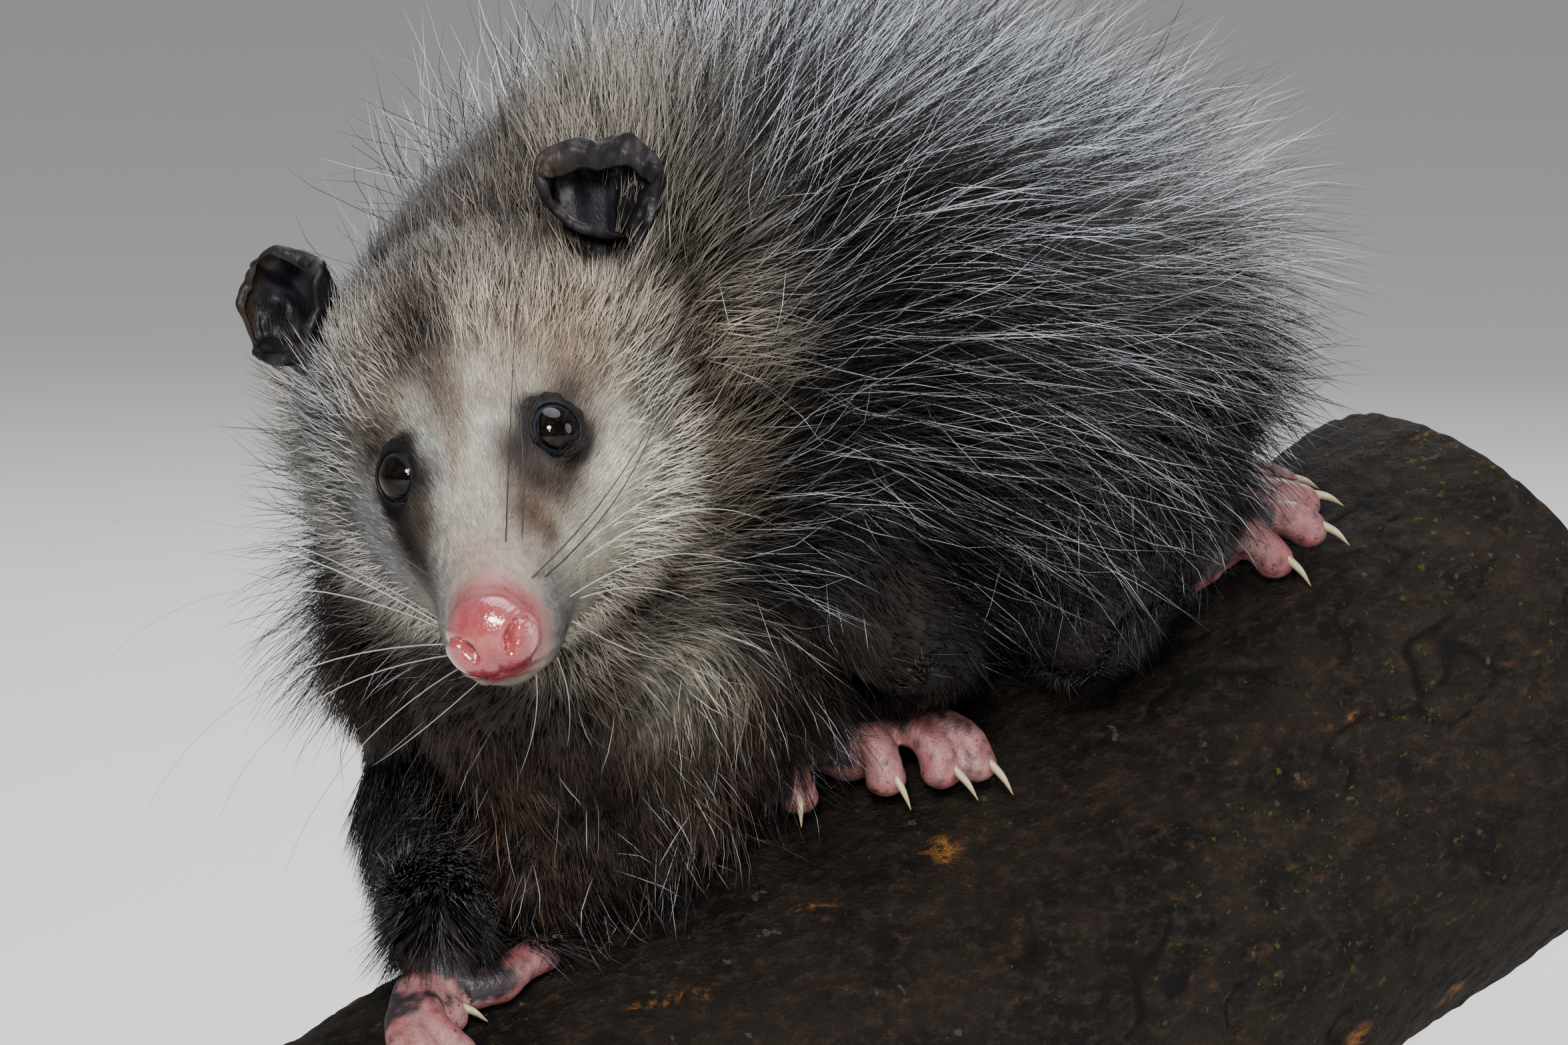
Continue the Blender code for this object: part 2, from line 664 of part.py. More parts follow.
def grow_coat(torso, neck, sleeve, around):
    """Roots locks over the trunk and the right upper arm, clear of the pieces around and of each other."""
    chance = random.Random(LOCK_SEED)
    trees = [search_tree(thing) for thing in around]
    coated = [sleeve, neck, torso]
    cores = [search_tree(node) for node in coated]
    shapes = []
    for number, node in enumerate(coated):
        seams = cores[:number] + cores[number + 1:]
        shapes.append(fitting_locks(node, SLEEVE_LENGTH if node is sleeve else 1.0, trees, seams, chance))
    sleeve_core = new_object("sleeve_core", sleeve.data.copy())
    for number, node in enumerate(coated):
        with_bundle(node, [make_lock(shape) for shape in shapes[number]], 'UNION')
        if node is not sleeve:
            keep_clear(node, [sleeve_core], AGAIN)
        for earlier in shapes[:number]:
            with_bundle(node, [make_lock(shape, LOCK_MARGIN) for shape in earlier], 'DIFFERENCE')
        keep_clear(node, around, AGAIN)
    bpy.data.objects.remove(sleeve_core, do_unlink=True)


def make_body():
    """The torso with its chest and the neck, fused and parted by a plane."""
    chest = smooth_rows([tuple(at(*row[:3])) + (row[3],) for row in CHEST], 4)
    grown = [math.sqrt(row[3] * (row[3] + 2 * CORE)) * MM for row in chest]
    pieces = [body_loft("trunk", TRUNK, CORE), body_loft("nape", NECK, NECK_COAT),
              tube("chest", [Vector(row[:3]) for row in chest], grown, 20),
              ball("brisket", Vector(chest[-1][:3]), grown[-1])]
    torso = fused("torso", pieces, 2.2, 5, 1100)
    neck = new_object("neck", torso.data.copy())
    point, ahead = at(*NECK_CUT["point"]), Vector(NECK_CUT["ahead"]).normalized()
    half(neck, point, -ahead)
    half(torso, point, ahead)
    return torso, neck


def head_form():
    """The coated head from the neck to the muzzle, widest along its cheek line."""
    fine = smooth_rows(HEAD, 4)
    sides = 32
    points = []
    for forward, top, bottom, width in fine:
        middle = bottom + CHEEK_LINE * (top - bottom)
        for a in turn(sides):
            rise = (top - middle if math.sin(a) > 0 else middle - bottom) * math.sin(a)
            points.append(on_head(width * math.cos(a), forward, middle + rise))
    faces = []
    for row in range(len(fine) - 1):
        for side in range(sides):
            here = row * sides + side
            beside = row * sides + (side + 1) % sides
            faces.append((here, beside, beside + sides, here + sides))
    faces.append(tuple(range(sides)))
    faces.append(tuple(range((len(fine) - 1) * sides, len(fine) * sides)))
    return from_faces("head_form", points, faces)


def eye_place(side, depth=0.0):
    """The middle of an eye, or a point that far out along its gaze; side is 1 for the left."""
    look = Vector(EYE_LOOK).normalized() * depth
    return on_head(side * (EYE_AT[0] + look.x), EYE_AT[1] + look.y, EYE_AT[2] + look.z)


def gaze(side):
    """The direction in which an eye looks."""
    look = Vector(EYE_LOOK).normalized()
    return side * look.x * HEAD_LEFT + look.y * HEAD_FORWARD + look.z * HEAD_UP


def lid_ring(side):
    """The lids of one eye as a raised ring round its opening."""
    out = gaze(side)
    across = out.cross(HEAD_UP).normalized()
    rise = across.cross(out)
    centre = eye_place(side, EYE_RADIUS * 0.42)
    points = []
    around, section = 16, 5
    for a in turn(around):
        spoke = math.cos(a) * across * 1.1 + math.sin(a) * rise * 0.95
        for b in turn(section):
            reach = (LID_OPEN + LID_THICK * math.cos(b)) * MM
            points.append(centre + spoke * reach + out * LID_THICK * math.sin(b) * MM)
    faces = []
    for i in range(around):
        for j in range(section):
            here = i * section
            beside = (i + 1) % around * section
            after = (j + 1) % section
            faces.append((here + j, beside + j, beside + after, here + after))
    return from_faces("lid", points, faces)


def mouth_cut():
    """A thin wedge whose edge makes the line of the mouth, from corner to corner round the front."""
    half_line = smooth_rows([(0, 62, -32.5), (8, 57, -33), (12, 46, -35), (15, 32, -37.5), (20, 18, -39),
                             (26, 8, -37)], 3)
    line = [(-left, forward, up) for left, forward, up in half_line[:0:-1]] + half_line
    points = []
    for left, forward, up in line:
        inner = (left * 0.45, forward - 5, up + 0.5)
        outer = (left + math.copysign(6, left) if left else 0.0, forward + 5, up - 1.0)
        for place, lift in ((inner, 0.35), (outer, 0.9), (outer, -0.9), (inner, -0.35)):
            points.append(on_head(place[0], place[1], place[2] + lift))
    faces = []
    for row in range(len(line) - 1):
        for j in range(4):
            here = row * 4
            faces.append((here + j, here + (j + 1) % 4, here + 4 + (j + 1) % 4, here + 4 + j))
    faces.append((0, 1, 2, 3))
    last = (len(line) - 1) * 4
    faces.append((last, last + 1, last + 2, last + 3))
    return from_faces("mouth_cut", points, faces)


def make_head():
    """The head with its nose pad, lips, lids, nostrils and the sockets that hold the eyes."""
    pieces = [head_form(), head_ball("pad", NOSE_PAD["at"], NOSE_PAD["size"])]
    for side in (1, -1):
        pieces.append(head_ball("wing", (side * 6.5, 60, -22), (6.5, 5.5, 6.5)))
        pieces.append(head_ball("lip", (side * 8, 50, -31), (6.5, 11, 4.5)))
        pieces.append(head_ball("whisker_bed", (side * 10.5, 40, -26), (8, 14, 9)))
    pieces.append(head_ball("chin", (0, 46, -37), (8, 12, 4.5)))
    head = fused("head", pieces, 1.1, 3, 1350)
    for side in (1, -1):
        socket = tube("socket", [eye_place(side, 1.0), eye_place(side, 22.0)],
                      [EYE_RADIUS * 0.72 * MM, 15 * MM], 14)
        combine(head, socket, 'DIFFERENCE')
        bpy.data.objects.remove(socket, do_unlink=True)
        lid = lid_ring(side)
        combine(head, lid, 'UNION')
        bpy.data.objects.remove(lid, do_unlink=True)
        nostril = head_ball("nostril", (side * 6.2, 66.5, -21), (2.4, 4.5, 1.7), 6, 8)
        combine(head, nostril, 'DIFFERENCE')
        bpy.data.objects.remove(nostril, do_unlink=True)
    mouth = mouth_cut()
    combine(head, mouth, 'DIFFERENCE')
    bpy.data.objects.remove(mouth, do_unlink=True)
    return largest(head)


def make_eyes(head):
    """Both eyeballs, and the sockets cut clear of them."""
    for side, name in ((1, "eye_left"), (-1, "eye_right")):
        eye = ball(name, eye_place(side), EYE_RADIUS * MM, 9, 12)
        keep_clear(head, [eye])
        dressed(eye, "eye_glass")


def make_ear(name, side, head):
    """One ear as a thin curled cup that opens forward and out, its root cut to the head."""
    arc, levels = 11, 5
    root = Vector(EAR_ROOT)
    lean = Vector((0.42, -0.10, 0.90)).normalized()
    open_to = Vector((0.35, 0.90, 0.02)).normalized()
    wide = open_to.cross(lean).normalized()
    rows = []
    for k in range(levels):
        t = k / (levels - 1)
        reach = EAR_WIDTH * (0.62 + 0.55 * math.sin(math.pi * (0.15 + 0.72 * t)))
        spread = math.radians(150 - 62 * t)
        middle = root + lean * (EAR_HEIGHT * t - 6) - open_to * 3 * t
        outer, inner = [], []
        for i in range(arc):
            a = -spread + 2 * spread * i / (arc - 1)
            droop = 5.0 * t * t * (1 - math.cos(a))
            for row, radius in ((outer, reach), (inner, reach - EAR_WALL)):
                place = middle + wide * radius * math.sin(a) - lean * droop
                place -= open_to * 0.8 * radius * math.cos(a)
                row.append(on_head(side * place.x, place.y, place.z))
        rows.append(outer + inner[::-1])
    count = 2 * arc
    faces = []
    for k in range(levels - 1):
        for i in range(count):
            here, beside = k * count + i, k * count + (i + 1) % count
            faces.append((here, beside, beside + count, here + count))
    for start in (0, (levels - 1) * count):
        for i in range(arc - 1):
            faces.append((start + i, start + i + 1, start + count - 2 - i, start + count - 1 - i))
    ear = from_faces(name, [p for row in rows for p in row], faces)
    triangulate(ear)
    keep_clear(ear, [head])
    return dressed(ear, "ear_leather")


def make_leg(name, foot):
    """One leg as two lengths fused at the elbow or knee, the lower one run on into the foot."""
    upper, lower = LEGS[name]
    lengths = []
    for rows, tail in ((upper, ()), (lower, (foot["ankle"], foot["sole"]))):
        centres = [tuple(at(*row[:3])) + (row[3] + row[4],) for row in rows]
        centres += [tuple(on_limb(*place[:3])) + (place[3] + CUFF,) for place in tail]
        fine = smooth_rows(centres, 4)
        lengths.append(tube("length", [Vector(row[:3]) for row in fine], [row[3] * MM for row in fine]))
        lengths.append(ball("joint", at(*rows[-1][:3]), (rows[-1][3] + rows[-1][4]) * MM))
    bpy.data.objects.remove(lengths.pop(), do_unlink=True)
    return half(fused(name, lengths, 1.6, 3, 340), *ankle_plane(foot))


def ankle_plane(foot):
    """A point on the cut between leg and foot, and the direction down into the foot."""
    ankle, sole = on_limb(*foot["ankle"][:3]), on_limb(*foot["sole"][:3])
    return ankle, (sole - ankle).normalized()


def make_foot(name, foot, perch):
    """One hand or foot: its palm and digits, cut level with the ankle and clear of the bark."""
    ankle, sole = foot["ankle"], foot["sole"]
    above = tuple(a + (a - s) * 0.5 for a, s in zip(ankle[:3], sole[:3]))
    palm = [above + (ankle[3],), ankle, sole]
    pieces = [tube("palm", [on_limb(*p[:3]) for p in palm], [p[3] * MM for p in palm])]
    pieces.append(ball("heel", on_limb(*sole[:3]), sole[3] * MM))
    for digit in foot["digits"]:
        fine = smooth_rows(digit, 3)
        pieces.append(tube("digit", [on_limb(*p[:3]) for p in fine], [p[3] * MM for p in fine], 12))
        pieces.append(ball("pad", on_limb(*digit[-1][:3]), digit[-1][3] * MM))
    thing = fused(name, pieces, 0.8, 2, 370)
    point, down = ankle_plane(foot)
    half(thing, point, -down)
    return dressed(keep_clear(thing, [perch]), "foot_skin")


def make_claws(prefix, foot, owner, perch):
    """The curved claws of one foot, each with its root in its own digit."""
    claws = []
    for number, (digit, tip) in enumerate(zip(foot["digits"], foot["claw_tips"]), 1):
        if tip is None:
            continue
        pad = Vector(digit[-1][:3])
        end = Vector(tip)
        end += (end - pad).normalized() * CLAW_REACH
        end.z = tip[2]
        middle = pad.lerp(end, 0.55) + Vector((0, 0, CLAW_RISE))
        root = pad.lerp(Vector(digit[-2][:3]), 0.15)
        rows = smooth_rows([tuple(root) + (CLAW_RADIUS,), tuple(middle) + (CLAW_RADIUS * 0.8,),
                            tuple(end) + (CLAW_POINT,)], 2)
        claw = tube(f"{prefix}_{number}", [on_limb(*r[:3]) for r in rows], [r[3] * MM for r in rows], 5)
        triangulate(claw)
        claws.append(dressed(keep_clear(claw, [owner, perch]), "claw_horn"))
    return claws


def foot_name(leg):
    """The name of the foot at the end of a leg."""
    part, side = leg.split("_")
    return f"{'forefoot' if part == 'foreleg' else 'hindfoot'}_{side}"


def mirrored_foot(foot):
    """The far foot, as the near one seen across the limb's ridge and shifted along it."""
    along, across = FAR_FOOT_SHIFT

    def flip(place):
        return None if place is None else (place[0] + along, across - place[1]) + tuple(place[2:])
    return {"ankle": flip(foot["ankle"]), "sole": flip(foot["sole"]),
            "digits": [[flip(p) for p in digit] for digit in foot["digits"]],
            "claw_tips": [flip(tip) for tip in foot["claw_tips"]]}


def make_tail(torso, perch):
    """The tail in three lengths along the far side of the limb, square-ended where they meet."""
    fine = smooth_rows(TAIL, 4)
    centres = [on_limb(*row[:3]) for row in fine]
    frames = path_frames(centres, Vector((1.0, 0.0, 0.0)))
    rings = [[row[3] * MM * (math.cos(a) * side + math.sin(a) * rise) for a in turn(TAIL_SIDES)]
             for row, (side, rise) in zip(fine, frames)]
    cuts = [int(share * (len(centres) - 1)) for share in TAIL_SPLITS]
    bounds = [0] + cuts + [len(centres) - 1]
    pieces = []
    for number, (start, end) in enumerate(zip(bounds, bounds[1:]), 1):
        line = centres[start:end + 1]
        for place, inwards in ((0, 1), (-1, -1)):
            side, rise = frames[start if place == 0 else end]
            line[place] = line[place] + side.cross(rise) * inwards * GAP / 2
        piece = loft(f"tail_{number}", line, rings[start:end + 1], TAIL_SIDES)
        triangulate(piece)
        pieces.append(dressed(keep_clear(piece, [torso, perch]), "tail_skin"))
    return pieces


def main():
    """Builds every piece in the order in which each meets the next."""
    clear_scene()
    MATERIALS.update({name: finish_material(name) for name in FINISHES})
    feet = {"foreleg_left": HAND_LEFT, "foreleg_right": HAND_RIGHT,
            "hindleg_left": FOOT_LEFT, "hindleg_right": mirrored_foot(FOOT_LEFT)}
    perch = make_perch()
    make_stand(perch)
    solid_feet = {name: make_foot(foot_name(name), foot, perch) for name, foot in feet.items()}
    head = make_head()
    make_eyes(head)
    torso, neck = make_body()
    ears = [make_ear("ear_left", 1, head), make_ear("ear_right", -1, head)]
    claws = {name: make_claws(f"claw_{foot_name(name)}", foot, solid_feet[name], perch)
             for name, foot in feet.items()}
    legs = {name: keep_clear(make_leg(name, foot), [torso, neck, perch, solid_feet[name]])
            for name, foot in feet.items()}
    sleeve = legs["foreleg_right"]
    around = ears + [leg for leg in legs.values() if leg is not sleeve] + list(solid_feet.values())
    around += claws["foreleg_left"] + claws["foreleg_right"]
    around += make_tail(torso, perch) + [head, perch]
    grow_coat(torso, neck, sleeve, around)
    for leg in legs.values():
        dressed(leg, "dark_leg_fur")
    dressed(torso, "guard_coat")
    dressed(neck, "guard_coat")
    dressed(head, "face_fur")


MATERIALS = {}
main()
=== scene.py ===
"""A Virginia opossum creeping down a sloping limb, dressed as a life-size museum model on a display stand.

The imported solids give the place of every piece. Body places are millimetres from the grip point on the limb's
ridge, head places are (left, forward, up) in millimetres from the point between the eyes, and limb places are
(along, across, height). One skin stands for the nodes of flesh, and the coat grows from it as closed tufts.
"""

import logging
import math
from dataclasses import dataclass, field
from enum import Enum

import bmesh
import bpy
import numpy as np
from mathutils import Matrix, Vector


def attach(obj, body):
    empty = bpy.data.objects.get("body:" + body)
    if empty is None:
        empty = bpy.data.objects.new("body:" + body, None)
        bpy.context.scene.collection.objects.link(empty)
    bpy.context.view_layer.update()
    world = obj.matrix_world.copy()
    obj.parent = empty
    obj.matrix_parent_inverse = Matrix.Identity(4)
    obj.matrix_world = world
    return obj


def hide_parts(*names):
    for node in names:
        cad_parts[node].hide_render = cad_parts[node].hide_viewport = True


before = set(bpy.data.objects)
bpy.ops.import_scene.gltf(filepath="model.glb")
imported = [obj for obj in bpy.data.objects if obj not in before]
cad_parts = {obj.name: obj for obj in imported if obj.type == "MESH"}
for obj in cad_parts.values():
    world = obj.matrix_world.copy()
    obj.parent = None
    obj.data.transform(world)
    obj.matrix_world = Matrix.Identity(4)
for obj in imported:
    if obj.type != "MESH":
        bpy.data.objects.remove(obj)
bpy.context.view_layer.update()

Array = np.ndarray
Colour = tuple[float, float, float]
Mesh = bpy.types.Mesh
Piece = bpy.types.Object
Material = bpy.types.Material
log = logging.getLogger("opossum")

MM = 0.001
GRIP = np.array((-21.0, 0.0, 241.0))
LIMB_RADIUS = 75.0
PITCH = math.radians(19.0)
UPHILL = np.array((math.cos(PITCH), 0.0, math.sin(PITCH)))
OUTWARD = np.array((-math.sin(PITCH), 0.0, math.cos(PITCH)))
FARSIDE = np.array((0.0, 1.0, 0.0))
EYE_MIDPOINT = np.array((-145.2, -48.7, 89.8))


class Region(Enum):
    """The parts of the skin, by the shell that each part comes from."""

    BODY = 0
    HEAD = 1
    FORELEG_LEFT = 2
    FORELEG_RIGHT = 3
    HINDLEG_LEFT = 4
    HINDLEG_RIGHT = 5
    TAIL = 6


# ---------------------------------------------------------------- places and arrays

def unit(v: Array) -> Array:
    """Vectors divided by their own lengths."""
    return v / np.maximum(np.linalg.norm(v, axis=-1, keepdims=True), 1e-9)


def smoothstep(low: float, high: float, x: Array) -> Array:
    """Zero below low, one above high, and 3s^2 - 2s^3 between."""
    s = np.clip((x - low) / (high - low), 0.0, 1.0)
    return s * s * (3.0 - 2.0 * s)


def head_axes() -> Array:
    """The head's left, forward and up directions as the rows of a matrix: heading, pitch, then a roll.

    Returns:
        A matrix of three rows.
    """
    heading, pitch, roll = (math.radians(a) for a in (227.9, -11.9, 18.1))
    ahead = np.array((math.cos(heading), math.sin(heading), 0.0))
    forward = ahead * math.cos(pitch) + np.array((0.0, 0.0, math.sin(pitch)))
    level = np.array((-math.sin(heading), math.cos(heading), 0.0))
    left = level * math.cos(roll) + np.cross(forward, level) * math.sin(roll)
    return np.array((left, forward, np.cross(forward, left)))


HEAD_AXES = head_axes()


def on_head(places: Array) -> Array:
    """Head places as body places: the eye midpoint plus each measure along its axis."""
    return EYE_MIDPOINT + np.asarray(places, float) @ HEAD_AXES


def to_head(places: Array) -> Array:
    """Body places as head places: the offset from the eye midpoint, dotted with each axis."""
    return (np.asarray(places, float) - EYE_MIDPOINT) @ HEAD_AXES.T


def on_limb(places: Array) -> Array:
    """Limb places as body places: turned across / radius about the limb's axis, radius + height from it.

    Args:
        places: Limb places (along, across, height).

    Returns:
        Body places.
    """
    places = np.asarray(places, float)
    angle = (places[..., 1] / LIMB_RADIUS)[..., None]
    away = np.sin(angle) * FARSIDE + np.cos(angle) * OUTWARD
    axis = places[..., 0:1] * UPHILL - LIMB_RADIUS * OUTWARD
    return axis + away * (LIMB_RADIUS + places[..., 2:3])


def limb_offset(places: Array) -> tuple[Array, Array]:
    """How far body places stand off the limb's axis.

    Args:
        places: Body places, in millimetres.

    Returns:
        The distance from the axis, and the direction away from it.
    """
    v = places + LIMB_RADIUS * OUTWARD
    v = v - (v @ UPHILL)[..., None] * UPHILL
    distance = np.linalg.norm(v, axis=-1)
    return distance, v / np.maximum(distance, 1e-6)[..., None]


def curve_spans(rows: Array, steps: int) -> Array:
    """Catmull-Rom spans between all rows but the first and the last two.

    For the rows a, b, c, d round it, a span is half of
    2b + (c - a)t + (2a - 5b + 4c - d)t^2 + (3b - a - 3c + d)t^3.

    Args:
        rows: The rows, with one more at the start and one or two more at the end.
        steps: Points on each span.

    Returns:
        The rows of all spans.
    """
    a, b, c, d = (rows[i:len(rows) - 3 + i, None, :] for i in range(4))
    t = (np.arange(steps) / steps)[None, :, None]
    spans = 0.5 * (2 * b + (c - a) * t + (2 * a - 5 * b + 4 * c - d) * t**2 + (3 * b - a - 3 * c + d) * t**3)
    return spans.reshape(-1, rows.shape[1])


def curve_rows(rows: list, steps: int) -> Array:
    """Rows of numbers joined by a Catmull-Rom curve.

    Args:
        rows: The rows that the curve passes through.
        steps: Points on each span.

    Returns:
        The rows of the curve, the last row included.
    """
    rows = np.array(rows, float)
    padded = np.vstack([2 * rows[0] - rows[1], rows, 2 * rows[-1] - rows[-2]])
    return np.vstack([curve_spans(padded, steps), rows[-1:]])


def ring_rows(rows: list, steps: int) -> Array:
    """A closed Catmull-Rom curve through rows, with no row repeated."""
    rows = np.array(rows, float)
    return curve_spans(np.vstack([rows[-1:], rows, rows[:2]]), steps)


def hill(places: Array, centre: tuple, size: tuple) -> Array:
    """A soft hill that is one at its centre: exp(-half the squared distance in units of size)."""
    return np.exp(-0.5 * np.sum(((places - np.array(centre)) / np.array(size)) ** 2, axis=-1))


def path_distance(places: Array, path: Array) -> Array:
    """The distance from each place to a line of straight spans.

    It is the least over the spans of |place - foot|, where the foot of the normal is kept on the span.

    Args:
        places: Any places.
        path: The line's corners.

    Returns:
        One distance to a place.
    """
    out = np.full(len(places), np.inf)
    for a, s in zip(path[:-1], path[1:] - path[:-1]):
        foot = np.clip((places - a) @ s / max(float(s @ s), 1e-9), 0.0, 1.0)
        out = np.minimum(out, np.linalg.norm(places - a - foot[:, None] * s, axis=1))
    return out


def ripple(places: Array, wavelength: float, seed: int, waves: int = 7) -> Array:
    """Smooth noise of about unit spread: a mean of sines along random directions near one wavelength.

    Args:
        places: Any places.
        wavelength: The middle wavelength, in the places' own unit.
        seed: The seed of the directions, wavelengths and phases.
        waves: How many sines.

    Returns:
        One number to a place.
    """
    rng = np.random.default_rng(seed)
    turns = unit(rng.normal(size=(waves, 3))) * (2 * math.pi / wavelength) * rng.uniform(0.7, 1.4, (waves, 1))
    return np.sin(places @ turns.T + rng.uniform(0, 2 * math.pi, waves)).sum(-1) * math.sqrt(2.0 / waves)


def lattice_noise(u: Array, v: Array, cells: tuple[int, int], seed: int) -> Array:
    """Noise from -1 to 1, periodic in v: random values at cells' corners, joined by smoothstep both ways.

    Args:
        u: Places along, from 0 to 1.
        v: Places round, one to a turn.
        cells: How many cells along and round.
        seed: The seed of the corner values.

    Returns:
        One number to a place.
    """
    table = np.random.default_rng(seed).uniform(-1, 1, (cells[0] + 2, cells[1]))
    x, y = u * cells[0], (v % 1.0) * cells[1]
    i, j = np.floor(x).astype(int), np.floor(y).astype(int) % cells[1]
    s, t = smoothstep(0, 1, x - np.floor(x)), smoothstep(0, 1, y - np.floor(y))
    k = (j + 1) % cells[1]
    return (table[i, j] * (1 - s) * (1 - t) + table[i + 1, j] * s * (1 - t)
            + table[i, k] * (1 - s) * t + table[i + 1, k] * s * t)


def path_frames(centres: Array, upright: Array) -> tuple[Array, Array]:
    """Side and rise directions square to a path at each of its points: upright x ahead, and ahead x side.

    Args:
        centres: The path's places.
        upright: A direction that the path never takes.

    Returns:
        The side and rise directions at each place.
    """
    ahead = unit(np.gradient(centres, axis=0))
    side = unit(np.cross(upright, ahead))
    return side, np.cross(ahead, side)


# ---------------------------------------------------------------- meshes

@dataclass
class Surface:
    """Points in body millimetres with the faces between them."""

    points: Array
    faces: list

    def mesh(self, name: str) -> Mesh:
        """A mesh in metres in the model's own frame.

        Args:
            name: The mesh's name.

        Returns:
            The mesh, smooth shaded.
        """
        mesh = bpy.data.meshes.new(name)
        mesh.from_pydata(((self.points + GRIP) * MM).tolist(), [], self.faces)
        mesh.validate()
        mesh.shade_smooth()
        return mesh

    def piece(self, name: str) -> Piece:
        """An object at the origin that holds the surface."""
        return linked(name, self.mesh(name))


def linked(name: str, mesh: Mesh) -> Piece:
    """Puts a mesh into the scene.

    Args:
        name: The object's name.
        mesh: Its mesh.

    Returns:
        The new object.
    """
    thing = bpy.data.objects.new(name, mesh)
    bpy.context.scene.collection.objects.link(thing)
    return thing


def marked(surface: Surface, name: str, **values: Array) -> Piece:
    """A surface as a piece, with its faces outwards and values on its points.

    Args:
        surface: The surface.
        name: The piece's name.
        **values: A number, or a colour, to each point, by the name that a finish reads.

    Returns:
        The piece's object.
    """
    mesh = outward(surface.mesh(name))
    for key, given in values.items():
        point_values(mesh, key, given)
    return linked(name, mesh)


def grid_faces(rows: int, sides: int) -> list:
    """Quads of a grid that closes round its sides, with one polygon over each end.

    Args:
        rows: Rows of points.
        sides: Points in a row.

    Returns:
        The faces, as lists of points.
    """
    here = (np.arange(rows - 1)[:, None] * sides + np.arange(sides)[None, :]).ravel()
    beside = (np.arange(rows - 1)[:, None] * sides + (np.arange(sides) + 1)[None, :] % sides).ravel()
    quads = np.stack([here, beside, beside + sides, here + sides], 1).tolist()
    return quads + [list(range(sides))[::-1], list(range((rows - 1) * sides, rows * sides))]


def torus_faces(rows: int, sides: int) -> list:
    """Quads of a grid that closes both ways.

    Args:
        rows: Rows of points.
        sides: Points in a row.

    Returns:
        The faces, as lists of points.
    """
    i, j = np.meshgrid(np.arange(rows), np.arange(sides), indexing="ij")
    k, m = (i + 1) % rows, (j + 1) % sides
    return np.stack([i * sides + j, k * sides + j, k * sides + m, i * sides + m], -1).reshape(-1, 4).tolist()


def turn(sides: int) -> Array:
    """Angles of one full turn."""
    return 2 * math.pi * np.arange(sides) / sides


def tube(centres: Array, radii: Array, sides: int, upright: tuple = (0, 0, 1), flat: float = 1.0) -> Surface:
    """A closed tube: each ring is its centre plus radius times (cos a side + flat sin a rise).

    Args:
        centres: Places along the path.
        radii: The radius at each place.
        sides: Points on a ring.
        upright: A direction that the path never takes.
        flat: The ring's height as a share of its width.

    Returns:
        The tube's surface.
    """
    side, rise = path_frames(centres, np.array(upright))
    a = turn(sides)[None, :, None]
    rings = np.cos(a) * side[:, None, :] + flat * np.sin(a) * rise[:, None, :]
    points = centres[:, None, :] + radii[:, None, None] * rings
    return Surface(points.reshape(-1, 3), grid_faces(len(centres), sides))


def ball(centre: Array, size: tuple, rings: int = 12, sides: int = 20) -> Surface:
    """An ellipsoid: its centre plus size times (sin b cos a, sin b sin a, cos b).

    Args:
        centre: Its middle.
        size: Its half sizes along x, y and z.
        rings: Rings from pole to pole.
        sides: Points on a ring.

    Returns:
        The closed surface.
    """
    b = (math.pi * (np.arange(rings) + 0.5) / rings)[:, None, None]
    a = turn(sides)[None, :, None]
    shape = np.concatenate([np.sin(b) * np.cos(a), np.sin(b) * np.sin(a), np.cos(b) + 0 * a], -1)
    points = centre + shape * np.array(size)
    return Surface(points.reshape(-1, 3), grid_faces(rings, sides))


def together(surfaces: list[Surface]) -> Surface:
    """Several surfaces as one.

    Args:
        surfaces: The surfaces.

    Returns:
        One surface with all their faces.
    """
    points, faces, start = [], [], 0
    for s in surfaces:
        points.append(s.points)
        faces += [[i + start for i in face] for face in s.faces]
        start += len(s.points)
    return Surface(np.vstack(points), faces)


def outward(mesh: Mesh) -> Mesh:
    """Turns every face of closed shells outwards.

    Args:
        mesh: A mesh of closed shells.

    Returns:
        The same mesh.
    """
    work = bmesh.new()
    work.from_mesh(mesh)
    bmesh.ops.recalc_face_normals(work, faces=work.faces)
    work.to_mesh(mesh)
    work.free()
    return mesh


def settled(thing: Piece) -> Piece:
    """Takes an object's modifiers into its mesh.

    Args:
        thing: The object.

    Returns:
        The same object, with a new mesh.
    """
    bpy.context.view_layer.update()
    graph = bpy.context.evaluated_depsgraph_get()
    mesh = bpy.data.meshes.new_from_object(thing.evaluated_get(graph))
    thing.modifiers.clear()
    old = thing.data
    thing.data = mesh
    bpy.data.meshes.remove(old)
    return thing


def fused(name: str, surfaces: list[Surface], voxel: float, relax: int) -> Piece:
    """Overlapping closed surfaces melted into one by a voxel remesh, then smoothed.

    Args:
        name: The object's name.
        surfaces: The closed surfaces.
        voxel: The size of a voxel, in millimetres.
        relax: Rounds of smoothing.

    Returns:
        The object, with its modifiers taken in.
    """
    thing = linked(name, outward(together(surfaces).mesh(name)))
    melt = thing.modifiers.new("melt", 'REMESH')
    melt.mode = 'VOXEL'
    melt.voxel_size = voxel * MM
    soften = thing.modifiers.new("soften", 'SMOOTH')
    soften.factor = 0.5
    soften.iterations = relax
    return settled(thing)


